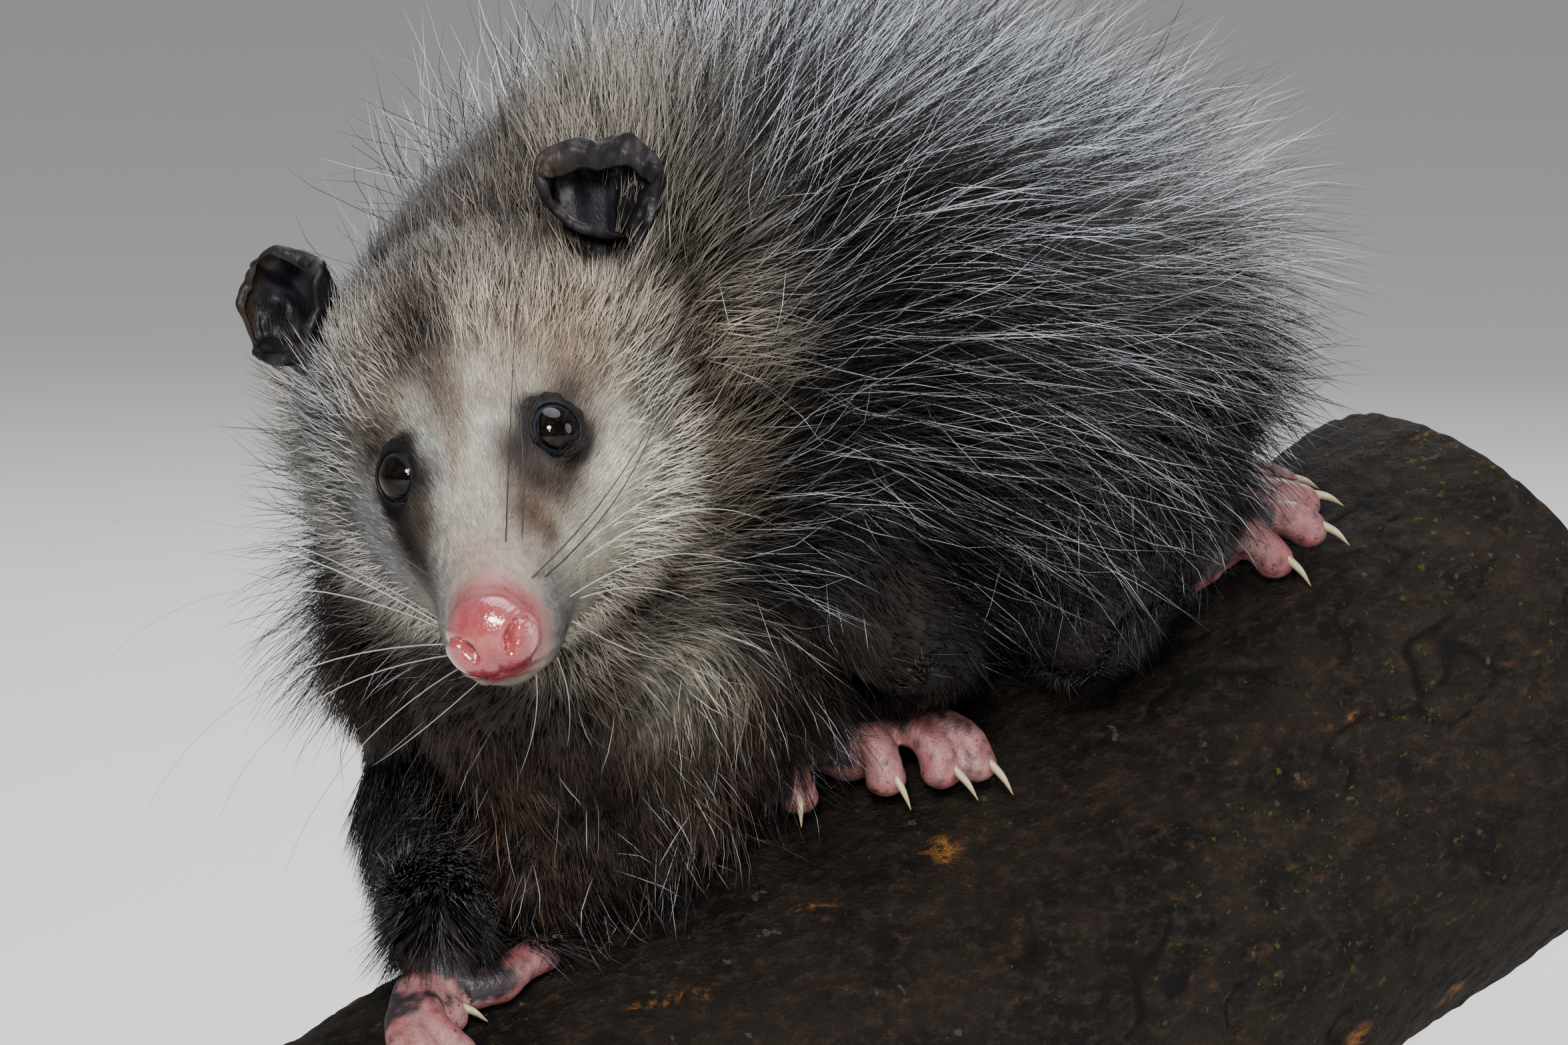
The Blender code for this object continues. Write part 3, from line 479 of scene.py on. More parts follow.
def mesh_arrays(mesh: Mesh) -> tuple[Array, Array, Array, Array]:
    """A mesh as arrays.

    Args:
        mesh: Any mesh.

    Returns:
        The points in body millimetres, their normals, the triangles, and the material index of each triangle.
    """
    mesh.calc_loop_triangles()
    points, normals = np.empty(len(mesh.vertices) * 3), np.empty(len(mesh.vertices) * 3)
    mesh.vertices.foreach_get("co", points)
    mesh.vertices.foreach_get("normal", normals)
    triangles = np.empty(len(mesh.loop_triangles) * 3, int)
    mesh.loop_triangles.foreach_get("vertices", triangles)
    kinds = np.empty(len(mesh.loop_triangles), int)
    mesh.loop_triangles.foreach_get("material_index", kinds)
    return points.reshape(-1, 3) / MM - GRIP, normals.reshape(-1, 3), triangles.reshape(-1, 3), kinds


def point_values(mesh: Mesh, name: str, values: Array) -> None:
    """Keeps a number, or a colour, on every point of a mesh under a name that a finish can read.

    Args:
        mesh: The mesh.
        name: The name that a finish reads.
        values: A number, or red, green and blue, to each point.
    """
    if values.ndim == 1:
        mesh.attributes.new(name, 'FLOAT', 'POINT').data.foreach_set("value", values.astype(np.float32))
    else:
        full = np.concatenate([values, np.ones((len(values), 1))], 1).astype(np.float32)
        mesh.attributes.new(name, 'FLOAT_COLOR', 'POINT').data.foreach_set("color", full.ravel())


def finished(thing: Piece, slot: str, material: Material, *stands_for: str) -> Piece:
    """Dresses a piece, sets it on the body, and hides the solids that it stands for.

    Args:
        thing: The piece.
        slot: A material slot's name; not used.
        material: Its finish.
        stands_for: The names of the solids that it replaces.

    Returns:
        The piece.
    """
    thing.data.materials.clear()
    thing.data.materials.append(material)
    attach(thing, "root")
    if stands_for:
        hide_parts(*stands_for)
    thing.data.calc_loop_triangles()
    log.info("%s: %d triangles", thing.name, len(thing.data.loop_triangles))
    return thing


# ---------------------------------------------------------------- shader maths

class Tree:
    """A material's node tree, with one method that adds any node."""

    def __init__(self, name: str) -> None:
        """Starts a material with an empty tree.

        Args:
            name: The material's name.
        """
        self.material = bpy.data.materials.new(name)
        self.material.use_nodes = True
        self.nodes = self.material.node_tree.nodes
        self.links = self.material.node_tree.links
        self.nodes.clear()

    def node(self, kind: str, settings: dict | None = None, **sockets: object) -> bpy.types.Node:
        """Adds a node.

        Args:
            kind: The node's type.
            settings: Its own settings, such as an operation.
            sockets: Values or links of its inputs; a name i0, i1 stands for the input of that number.

        Returns:
            The node.
        """
        node = self.nodes.new(kind)
        for key, value in (settings or {}).items():
            setattr(node, key, value)
        for key, value in sockets.items():
            numbered = key[0] == "i" and key[1:].isdigit()
            socket = node.inputs[int(key[1:]) if numbered else key.replace("_", " ")]
            if isinstance(value, Wire):
                self.links.new(value.socket, socket)
            elif isinstance(value, bpy.types.NodeSocket):
                self.links.new(value, socket)
            elif value is not None:
                socket.default_value = value
        return node

    def wire(self, node: bpy.types.Node, output: int | str = 0) -> "Wire":
        """The wire from one output of a node."""
        return Wire(self, node.outputs[output])

    def place(self) -> "Wire":
        """The Object coordinates of the piece, in metres."""
        return self.wire(self.node('ShaderNodeTexCoord'), "Object")

    def value(self, name: str) -> "Wire":
        """A number kept on the piece's points."""
        return self.wire(self.node('ShaderNodeAttribute', {"attribute_name": name}), "Fac")

    def tint(self, name: str) -> "Wire":
        """A colour kept on the piece's points."""
        return self.wire(self.node('ShaderNodeAttribute', {"attribute_name": name}), "Color")

    def scaled(self, vector: "Wire", scale: tuple, turned: tuple = (0.0, 0.0, 0.0)) -> "Wire":
        """Coordinates turned and scaled by a Mapping node."""
        return self.wire(self.node('ShaderNodeMapping', Vector=vector, Rotation=turned, Scale=scale))

    def noise(self, vector: "Wire", scale: float, detail: float = 3.0, roughness: float = 0.55,
              distortion: float = 0.0) -> "Wire":
        """Noise from zero to one, as a number."""
        return self.wire(self.node('ShaderNodeTexNoise', Vector=vector, Scale=scale, Detail=detail,
                                   Roughness=roughness, Distortion=distortion), "Fac")

    def cells(self, vector: "Wire", scale: float) -> "Wire":
        """The distance to the nearest of scattered points."""
        return self.wire(self.node('ShaderNodeTexVoronoi', Vector=vector, Scale=scale), "Distance")

    def blend(self, share: "Wire | float", first: object, second: object, how: str = 'MIX') -> "Wire":
        """One colour mixed into another.

        Args:
            share: How much of the second colour shows, from 0 to 1.
            first: The colour below, as a wire or three numbers.
            second: The colour above, as a wire or three numbers.
            how: The kind of mix.

        Returns:
            The mixed colour.
        """
        below, above = (c if isinstance(c, Wire) else (*c, 1.0) for c in (first, second))
        settings = {"data_type": 'RGBA', "blend_type": how, "clamp_factor": True}
        return self.wire(self.node('ShaderNodeMix', settings, i0=share, i6=below, i7=above), 2)

    def ramp(self, value: "Wire", low: float, high: float) -> "Wire":
        """Zero below low, one above high, smooth between."""
        settings = {"interpolation_type": 'SMOOTHSTEP'}
        return self.wire(self.node('ShaderNodeMapRange', settings, Value=value, i1=low, i2=high))

    def bump(self, height: "Wire", strength: float, distance: float) -> "Wire":
        """A bumped normal; distance is the depth of the relief in metres."""
        return self.wire(self.node('ShaderNodeBump', Strength=strength, Distance=distance, Height=height))

    def finish(self, **sockets: object) -> Material:
        """Closes the tree with a Principled shader and gives the material.

        Args:
            **sockets: Values or links of the shader's inputs.

        Returns:
            The material.
        """
        shader = self.node('ShaderNodeBsdfPrincipled', **sockets)
        self.node('ShaderNodeOutputMaterial', Surface=shader.outputs[0])
        return self.material


class Wire:
    """One output socket, on which arithmetic adds Math nodes."""

    def __init__(self, tree: Tree, socket: bpy.types.NodeSocket) -> None:
        """Wraps a socket of a tree."""
        self.tree = tree
        self.socket = socket

    def _math(self, operation: str, first: object, second: object = None) -> "Wire":
        """Adds a Math node on one or two values."""
        return self.tree.wire(self.tree.node('ShaderNodeMath', {"operation": operation}, i0=first, i1=second))

    def __add__(self, other: object) -> "Wire":
        """self + other."""
        return self._math('ADD', self, other)

    def __radd__(self, other: object) -> "Wire":
        """other + self."""
        return self._math('ADD', other, self)

    def __sub__(self, other: object) -> "Wire":
        """self - other."""
        return self._math('SUBTRACT', self, other)

    def __rsub__(self, other: object) -> "Wire":
        """other - self."""
        return self._math('SUBTRACT', other, self)

    def __mul__(self, other: object) -> "Wire":
        """self * other."""
        return self._math('MULTIPLY', self, other)

    def __rmul__(self, other: object) -> "Wire":
        """other * self."""
        return self._math('MULTIPLY', other, self)

    def sine(self) -> "Wire":
        """The sine of the value, in radians."""
        return self._math('SINE', self)


# ---------------------------------------------------------------- finishes

@dataclass(frozen=True)
class FurFinish:
    """Hair whose own colour lies on its points, darker at the root as painted shade and varied from tuft to
    tuft.
    """

    name: str = "coat_hair"
    root_shade: float = 0.40
    spread: float = 0.45
    roughness: float = 0.42

    def material(self) -> Material:
        """The finish as a material.

        Returns:
            The material.
        """
        t = Tree(self.name)
        along, chance = t.value("Along"), t.value("Chance")
        grain = t.noise(t.place(), 420.0, 2.0)
        # root_shade darkens each hair towards its root: painted shade deep in the coat
        shade = (self.root_shade + (1 - self.root_shade) * t.ramp(along, 0.0, 0.55)) * (
            1 - self.spread / 2 + self.spread * chance) * (0.92 + 0.16 * grain)
        grey = t.wire(t.node('ShaderNodeCombineColor', Red=shade, Green=shade, Blue=shade))
        colour = t.blend(1.0, t.tint("Mark"), grey, 'MULTIPLY')
        rough = self.roughness - 0.08 * along + 0.16 * (chance - 0.5)
        return t.finish(Base_Color=colour, Roughness=rough)


@dataclass(frozen=True)
class SkinFinish:
    """The skin: the coat's colour darkened as painted shade under the hair where hair grows, and bare pink or
    slate skin elsewhere.
    """

    name: str = "opossum_skin"
    under_shade: float = 0.44

    def material(self) -> Material:
        """The finish as a material.

        Returns:
            The material.
        """
        t = Tree(self.name)
        place, bare, wet, run = t.place(), t.value("Bare"), t.value("Wet"), t.value("Run")
        rows = 0.5 + 0.5 * (run * 2.9 + 2.0 * t.noise(place, 120.0, 2.0)).sine()
        grooves = t.ramp(run, 1.0, 12.0) * (1 - t.ramp(rows, 0.0, 0.45))
        scale = 1 - grooves * (0.6 + 0.4 * t.cells(place, 420.0))
        fine, broad = t.noise(place, 900.0, 4.0), t.noise(place, 150.0, 3.0)
        dirt = t.ramp(t.noise(place, 520.0, 2.0, 0.6), 0.60, 0.68)
        dirt = dirt * t.ramp(t.noise(place, 90.0, 2.0), 0.44, 0.58)
        # under_shade darkens the coat's colour on the skin under the hair: painted shade
        ground = t.blend(1.0, t.tint("Mark"), (self.under_shade,) * 3, 'MULTIPLY')
        flesh = t.blend(t.ramp(broad, 0.38, 0.68) * 0.75, t.tint("Flesh"), (0.90, 0.58, 0.58), 'MULTIPLY')
        flesh = t.blend(t.ramp(fine, 0.50, 0.74) * 0.3, flesh, (0.80, 0.66, 0.64), 'SOFT_LIGHT')
        creases = t.cells(place, 1250.0)
        # darker in the small dimples where the bump dips: painted shade
        flesh = t.blend((1 - t.ramp(creases, 0.1, 0.5)) * 0.22, flesh, (0.45, 0.28, 0.28), 'MULTIPLY')
        flesh = t.blend(dirt * (1 - wet) * 0.75, flesh, (0.050, 0.030, 0.022))
        # the tail's scale grooves darkened where the bump dips: painted shade
        flesh = t.blend((1 - scale) * 0.7, flesh, (0.30, 0.24, 0.23), 'MULTIPLY')
        height = 0.5 * creases + 0.4 * fine + 0.5 * scale
        rough = 0.66 - 0.18 * bare - 0.34 * wet + 0.16 * (fine - 0.5)
        return t.finish(Base_Color=t.blend(bare, ground, flesh), Roughness=rough, Coat_Weight=wet * 0.8,
                        Normal=t.bump(height, 0.36, 0.0006), Coat_Roughness=0.10)


@dataclass(frozen=True)
class LeatherFinish:
    """Thin slate-black ear leather, tan and olive where its edge is worn, pink where blood shows through; its
    fine streaks are painted sheen and its wet spot a painted highlight.
    """

    name: str = "ear_leather"

    def material(self) -> Material:
        """The finish as a material.

        Returns:
            The material.
        """
        t = Tree(self.name)
        place, rim, blush, wet = t.place(), t.value("Rim"), t.value("Blush"), t.value("Wet")
        broad = t.noise(place, 170.0, 3.0)
        fine = t.noise(t.scaled(place, (1.0, 1.0, 0.28)), 1500.0, 3.0)
        pores = t.noise(place, 1300.0, 4.0)
        colour = t.blend(t.ramp(broad, 0.35, 0.70), (0.0062, 0.0060, 0.0075), (0.021, 0.0205, 0.028))
        # fine bluish streaks lighter than the leather: painted sheen
        colour = t.blend(t.ramp(fine, 0.55, 0.72) * 0.25, colour, (0.042, 0.041, 0.050))
        colour = t.blend(rim * (0.10 + 0.6 * broad), colour, (0.095, 0.060, 0.030))
        colour = t.blend(blush * (0.45 + 0.6 * broad), colour, (0.21, 0.125, 0.13))
        # the wet spot is painted pinkish white: a painted highlight on wet skin
        colour = t.blend(wet, colour, (0.62, 0.46, 0.47))
        normal = t.bump(0.5 * fine + 0.3 * pores + 0.3 * broad, 0.5, 0.0007)
        return t.finish(Base_Color=colour, Roughness=0.46 - 0.24 * wet + 0.2 * (pores - 0.5), Normal=normal,
                        Coat_Weight=0.02 + 0.6 * wet, Coat_Roughness=0.15, Specular_IOR_Level=0.28)


@dataclass(frozen=True)
class EyeFinish:
    """A wet dark eye: black pupil, very dark brown iris with spokes, and a bluish ring at the cornea's edge, a
    painted reflection.
    """

    name: str = "wet_eye"

    def material(self) -> Material:
        """The finish as a material.

        Returns:
            The material.
        """
        t = Tree(self.name)
        reach, spoke = t.value("Reach"), t.value("Spoke")
        fibres = t.noise(t.place(), 1500.0, 3.0)
        iris = t.blend(t.ramp(fibres + 0.25 * (spoke * 46.0).sine(), 0.35, 0.85), (0.003, 0.002, 0.0016),
                       (0.015, 0.008, 0.005))
        colour = t.blend(t.ramp(reach, 0.16, 0.22), (0.0012, 0.0010, 0.0010), iris)
        colour = t.blend(t.ramp(reach, 0.55, 0.62), colour, (0.003, 0.0028, 0.0032))
        # a bluish ring at the cornea's edge: a painted reflection
        ring = t.ramp(reach, 0.66, 0.72) * (1 - t.ramp(reach, 0.76, 0.84))
        colour = t.blend(ring * 0.6, colour, (0.040, 0.052, 0.072))
        return t.finish(Base_Color=colour, Roughness=0.05 + 0.03 * fibres, IOR=1.36, Coat_Weight=0.12,
                        Coat_Roughness=0.01)


@dataclass(frozen=True)
class LidFinish:
    """The wet blackish skin of the lids."""

    name: str = "wet_lid"

    def material(self) -> Material:
        """The finish as a material.

        Returns:
            The material.
        """
        t = Tree(self.name)
        place = t.place()
        fine, broad = t.noise(place, 1400.0, 3.0), t.noise(place, 300.0, 2.0)
        colour = t.blend(t.ramp(broad, 0.35, 0.7), (0.0028, 0.0024, 0.0026), (0.0085, 0.006, 0.006))
        return t.finish(Base_Color=colour, Roughness=0.42 + 0.2 * fine, Coat_Weight=0.08, Coat_Roughness=0.2,
                        Specular_IOR_Level=0.3, Normal=t.bump(fine, 0.4, 0.0004))


@dataclass(frozen=True)
class ClawFinish:
    """Ivory horn, pinkish where it leaves the toe and amber at the point, streaked along its length."""

    name: str = "claw_horn"

    def material(self) -> Material:
        """The finish as a material.

        Returns:
            The material.
        """
        t = Tree(self.name)
        along, spoke = t.value("Along"), t.value("Spoke")
        fibre = t.noise(t.place(), 700.0, 3.0)
        streak = 0.5 + 0.5 * (spoke * 23.0 + fibre * 6.0).sine()
        colour = t.blend(t.ramp(along, 0.0, 0.45), (0.30, 0.200, 0.150), (0.47, 0.415, 0.290))
        colour = t.blend(t.ramp(along, 0.55, 1.0), colour, (0.40, 0.30, 0.165))
        colour = t.blend(streak * 0.3, colour, (0.20, 0.135, 0.08))
        return t.finish(Base_Color=colour, Roughness=0.30 + 0.14 * fibre, Normal=t.bump(streak, 0.2, 0.0002),
                        Coat_Weight=0.3, Coat_Roughness=0.15, Subsurface_Weight=0.12,
                        Subsurface_Radius=(0.002, 0.0012, 0.0008), Subsurface_Scale=1.0)


@dataclass(frozen=True)
class BarkFinish:
    """Rough, almost black bark with painted shade in its furrows: rusty in places, tan where it has flaked,
    flecked with lichen and moss.
    """

    name: str = "limb_bark"

    def material(self) -> Material:
        """The finish as a material.

        Returns:
            The material.
        """
        t = Tree(self.name)
        place, depth, flake, moss = t.place(), t.value("Depth"), t.value("Flake"), t.value("Moss")
        lie = t.scaled(place, (0.55, 1.0, 1.0), (0.0, PITCH, 0.0))
        coarse, grit = t.noise(lie, 60.0, 6.0, 0.68), t.noise(lie, 360.0, 5.0, 0.7)
        sand, dots = t.noise(place, 1100.0, 3.0, 0.6), t.noise(place, 330.0, 2.0, 0.5)
        colour = t.blend(t.ramp(coarse, 0.34, 0.66), (0.0045, 0.0036, 0.0030), (0.026, 0.0180, 0.013))
        colour = t.blend(t.ramp(grit, 0.46, 0.66) * 0.75, colour, (0.050, 0.033, 0.022))
        rust = t.ramp(grit, 0.60, 0.66) * t.ramp(dots, 0.54, 0.62)
        colour = t.blend(rust * 0.7, colour, (0.115, 0.046, 0.018))
        colour = t.blend(t.ramp(sand, 0.64, 0.72) * 0.4, colour, (0.14, 0.105, 0.075))
        # the furrows darkened almost to black: painted shade
        colour = t.blend(t.ramp(depth, 0.15, 0.9) * 0.85, colour, (0.004, 0.003, 0.0025))
        colour = t.blend(flake * t.ramp(grit, 0.42, 0.58), colour, (0.27, 0.125, 0.040))
        fleck = t.ramp(dots * (0.7 + 0.6 * sand), 0.665, 0.72)
        colour = t.blend(fleck * moss * 0.8, colour, (0.085, 0.105, 0.017))
        lichen = t.ramp(t.noise(place, 210.0, 2.0, 0.5), 0.71, 0.74)
        colour = t.blend(lichen * 0.6, colour, (0.090, 0.105, 0.070))
        height = 0.4 * coarse + 0.6 * grit + 0.35 * sand + 0.15 * fleck * moss
        return t.finish(Base_Color=colour, Roughness=0.80 + 0.3 * (grit - 0.5) - 0.1 * flake,
                        Specular_IOR_Level=0.3, Normal=t.bump(height, 1.0, 0.005))


@dataclass(frozen=True)
class EndGrainFinish:
    """A sawn end: pale sapwood, darker heart, growth rings and fine rays."""

    name: str = "sawn_end"

    def material(self) -> Material:
        """The finish as a material.

        Returns:
            The material.
        """
        t = Tree(self.name)
        ring, spoke = t.value("Ring"), t.value("Spoke")
        wobble = t.noise(t.place(), 28.0, 3.0)
        fine = t.noise(t.place(), 900.0, 3.0)
        waves = 0.5 + 0.5 * (ring * 150.0 + wobble * 9.0).sine()
        rays = 0.5 + 0.5 * (spoke * 190.0 + fine * 3.0).sine()
        colour = t.blend(t.ramp(ring, 0.30, 0.62), (0.30, 0.170, 0.085), (0.56, 0.40, 0.235))
        colour = t.blend(t.ramp(waves, 0.55, 0.95) * 0.6, colour, (0.20, 0.110, 0.055))
        colour = t.blend(rays * 0.18, colour, (0.64, 0.48, 0.30))
        colour = t.blend(t.ramp(ring, 0.93, 0.965), colour, (0.060, 0.040, 0.028))
        return t.finish(Base_Color=colour, Roughness=0.62 + 0.2 * fine,
                        Normal=t.bump(0.6 * waves + 0.4 * fine, 0.35, 0.0006))


@dataclass(frozen=True)
class WalnutFinish:
    """Oiled walnut: long dark figure along the board, with pores."""

    name: str = "walnut"

    def material(self) -> Material:
        """The finish as a material.

        Returns:
            The material.
        """
        t = Tree(self.name)
        board = t.scaled(t.place(), (0.09, 1.0, 1.0))
        sweep = t.noise(board, 26.0, 4.0, 0.6, 1.2)
        figure = 0.5 + 0.5 * (sweep * 34.0).sine()
        pores = t.ramp(t.noise(t.scaled(t.place(), (0.06, 1.0, 1.0)), 900.0, 2.0), 0.60, 0.72)
        colour = t.blend(t.ramp(sweep, 0.32, 0.68), (0.050, 0.024, 0.013), (0.175, 0.090, 0.047))
        colour = t.blend(figure * 0.4, colour, (0.085, 0.040, 0.020))
        colour = t.blend(pores * 0.7, colour, (0.016, 0.009, 0.006))
        return t.finish(Base_Color=colour, Roughness=0.34 + 0.16 * pores, Coat_Weight=0.15,
                        Coat_Roughness=0.2, Normal=t.bump(1 - pores, 0.25, 0.0003))


@dataclass(frozen=True)
class SteelFinish:
    """Blackened steel, brushed round the rod."""

    name: str = "blackened_steel"
    light: Colour = (0.16, 0.16, 0.17)
    dark: Colour = (0.055, 0.055, 0.060)

    def material(self) -> Material:
        """The finish as a material.

        Returns:
            The material.
        """
        t = Tree(self.name)
        brushed = t.noise(t.scaled(t.place(), (1.0, 1.0, 9.0)), 420.0, 3.0)
        cloud = t.noise(t.place(), 45.0, 3.0)
        colour = t.blend(t.ramp(cloud, 0.35, 0.7), self.dark, self.light)
        return t.finish(Base_Color=colour, Metallic=1.0, Roughness=0.30 + 0.22 * brushed,
                        Normal=t.bump(brushed, 0.25, 0.0002))


@dataclass(frozen=True)
class FloorFinish:
    """Pale matt paper for the studio floor."""

    name: str = "studio_floor"

    def material(self) -> Material:
        """The finish as a material.

        Returns:
            The material.
        """
        t = Tree(self.name)
        grain = t.noise(t.place(), 30.0, 3.0)
        colour = t.blend(grain * 0.3, (0.80, 0.79, 0.77), (0.74, 0.73, 0.71))
        return t.finish(Base_Color=colour, Roughness=0.85)


# ---------------------------------------------------------------- skin

def foot(ankle: tuple, sole: tuple, digits: list, claw_tips: list) -> dict:
    """The places of one foot on the limb."""
    return {"ankle": ankle, "sole": sole, "digits": digits, "claw_tips": claw_tips}


HAND_LEFT = foot((2, -8, 18, 9), (-5, -14, 7, 9), [
    [(-11, -8, 7, 5.4), (-20, -5, 8.5, 4.2), (-26.5, -6, 8, 4.5), (-28.5, -9, 4.6, 4.6)],
    [(-12, -12, 8, 5), (-19, -12, 9.5, 4.1), (-24, -14.5, 8.3, 4.4), (-26, -18, 4.6, 4.6)],
    [(-5, -15, 9, 5), (-4, -19, 11, 4), (-4.5, -23.5, 9.3, 4.5), (-6.5, -27.5, 4.8, 4.8)],
    [(0, -16, 9, 5), (5, -24, 11, 4), (6.5, -29.5, 9, 4.5), (5.5, -34, 4.8, 4.8)],
    [(4, -16, 8.5, 5), (12, -27, 10.5, 4), (14.5, -33, 8.8, 4.4), (14, -37.5, 4.7, 4.7)]],
    [(-32, -12.5, 0.9), (-29.5, -22, 0.9), (-7, -34, 0.9), (7.5, -41.5, 0.9), (16, -45, 0.9)])
HAND_RIGHT = foot((-128, -7, 17, 9.5), (-136, -13, 7, 9), [
    [(-134, -19, 6, 5.4), (-127, -22.5, 6, 4.6), (-118.5, -21, 6, 4.5), (-111.5, -19.5, 4.6, 4.8)],
    [(-141, -13, 8, 5), (-145.5, -15, 10, 4.1), (-145, -18.5, 8.4, 4.5), (-142.5, -21.5, 4.6, 4.8)],
    [(-142, -16, 8, 5), (-149, -22, 10, 4), (-151.5, -28, 8.5, 4.4), (-150, -33, 4.7, 4.7)],
    [(-143, -15, 8, 5), (-153, -22, 9.5, 4), (-158, -29, 8.5, 4.4), (-158.5, -35, 4.7, 4.7)],
    [(-143, -12, 7.5, 5), (-155, -21, 9, 4), (-163, -30, 8, 4.3), (-165, -36, 4.5, 4.5)]],
    [(-104, -18.5, 1.2), (-137, -25, 0.9), (-147, -38.5, 0.9), (-157, -42, 0.9), (-165, -43, 0.9)])
FOOT_LEFT = foot((110, -14, 22, 10), (114, -17, 8, 9.5), [
    [(112, -20, 6.5, 7), (102, -21, 5.5, 5.4), (91, -21, 5, 4.6), (82, -20.5, 4.8, 4.9)],
    [(121, -13, 8, 5.8), (134, -9, 11, 4.8), (144, -9, 9.8, 5.3), (150, -11, 5.2, 5.3)],
    [(122, -16, 8, 5.6), (134, -15, 10.5, 4.6), (142, -17, 8.5, 4.9), (148, -19.5, 4.9, 4.9)],
    [(120, -19, 7.5, 5.6), (130, -21.5, 9.5, 4.6), (137, -25, 8, 4.8), (141, -28, 4.8, 4.8)],
    [(116, -21, 7, 5.6), (121, -24.5, 9.5, 4.6), (124, -28, 8, 4.8), (125.5, -31, 4.8, 4.8)]],
    [None, (158, -13, 1), (156, -23, 1), (146, -34, 0.9), (128, -38, 0.9)])


def mirrored(near: dict, along: float = -10.0, across: float = 44.0) -> dict:
    """The far foot: the near one seen across the limb's ridge and shifted along it.

    Args:
        near: The near foot's places.
        along: How far the far foot is shifted.
        across: Twice the place across of the line between them.

    Returns:
        The far foot's places.
    """
    def flip(place: tuple | None) -> tuple | None:
        """One place flipped."""
        return None if place is None else (place[0] + along, across - place[1], *place[2:])
    return foot(flip(near["ankle"]), flip(near["sole"]), [[flip(p) for p in d] for d in near["digits"]],
                [flip(tip) for tip in near["claw_tips"]])


@dataclass
class Leg:
    """One leg: skin rows (x, y, z, radius) above and below the elbow or knee, and its foot on the limb."""

    region: Region
    node: str
    foot_node: str
    upper: list
    lower: list
    foot: dict

    def upper_shells(self) -> list[Surface]:
        """The thigh or upper arm as a tube of circles along its rows, with a ball at each end."""
        rows = curve_rows(self.upper, 5)
        return [tube(rows[:, :3], rows[:, 3], 22), ball(rows[-1, :3], (rows[-1, 3],) * 3)]

    def lower_shells(self) -> list[Surface]:
        """The shin or forearm run on through ankle and sole, and each digit with its pad and knuckles.

        Returns:
            Closed surfaces that overlap.
        """
        tail = [(*on_limb(np.array(self.foot[k][:3])), self.foot[k][3]) for k in ("ankle", "sole")]
        rows = curve_rows([*self.lower, *tail], 6)
        shells = [tube(rows[:, :3], rows[:, 3], 24), ball(rows[0, :3], (rows[0, 3],) * 3),
                  ball(rows[-1, :3], (rows[-1, 3],) * 3)]
        for digit in self.foot["digits"]:
            shells += self.digit_shells(np.array(digit, float))
        return shells

    @staticmethod
    def digit_shells(digit: Array) -> list[Surface]:
        """One digit: radius times (1 + a swell at the middle joint + fine rings), and a flattened end pad.

        Args:
            digit: Rows of (along, across, height, radius) on the limb.

        Returns:
            Closed surfaces that overlap.
        """
        rows = curve_rows(digit.tolist(), 9)
        s = np.linspace(0, 1, len(rows))
        knuckle = 0.10 * np.exp(-((s - 0.36) / 0.07) ** 2)
        radius = rows[:, 3] * (1 + knuckle + 0.025 * np.sin(s * 46) * (s > 0.2))
        end, size = on_limb(rows[-1, :3]), rows[-1, 3]
        _, away = limb_offset(end[None])
        return [tube(on_limb(rows[:, :3]), radius, 20), ball(end, (size * 1.03,) * 3),
                ball(end - away[0] * 0.6, (size * 1.10, size * 1.06, size * 0.92))]


LEGS = [
    Leg(Region.FORELEG_LEFT, "foreleg_left", "forefoot_left",
        [(-40, -26, 70, 18), (-34, -36, 56, 17), (-24, -46, 42, 15), (-15, -49, 34, 12)],
        [(-20, -50, 38, 11), (-12, -48, 33, 12), (-5, -30, 26, 10)], HAND_LEFT),
    Leg(Region.FORELEG_RIGHT, "foreleg_right", "forefoot_right",
        [(-64, 34, 80, 28), (-76, 48, 52, 27), (-84, 49, 20, 21), (-88, 44, 0, 16)],
        [(-84, 46, 10, 18), (-89, 40, -6, 17.5), (-104, 18, -21, 14.5)], HAND_RIGHT),
    Leg(Region.HINDLEG_LEFT, "hindleg_left", "hindfoot_left",
        [(90, -2, 76, 34), (70, -20, 60, 31), (48, -38, 42, 21), (42, -44, 34, 15)],
        [(40, -44, 36, 13), (46, -43, 34, 15), (70, -34, 40, 13), (91, -22, 49, 11)], FOOT_LEFT),
    Leg(Region.HINDLEG_RIGHT, "hindleg_right", "hindfoot_right",
        [(92, 54, 78, 32), (76, 70, 58, 28), (54, 82, 38, 19), (48, 86, 28, 13)],
        [(46, 86, 28, 12), (54, 86, 26, 14), (74, 82, 27, 12), (90, 76, 30, 10.5)], mirrored(FOOT_LEFT)),
]
LEG_NODES = [leg.node for leg in LEGS]


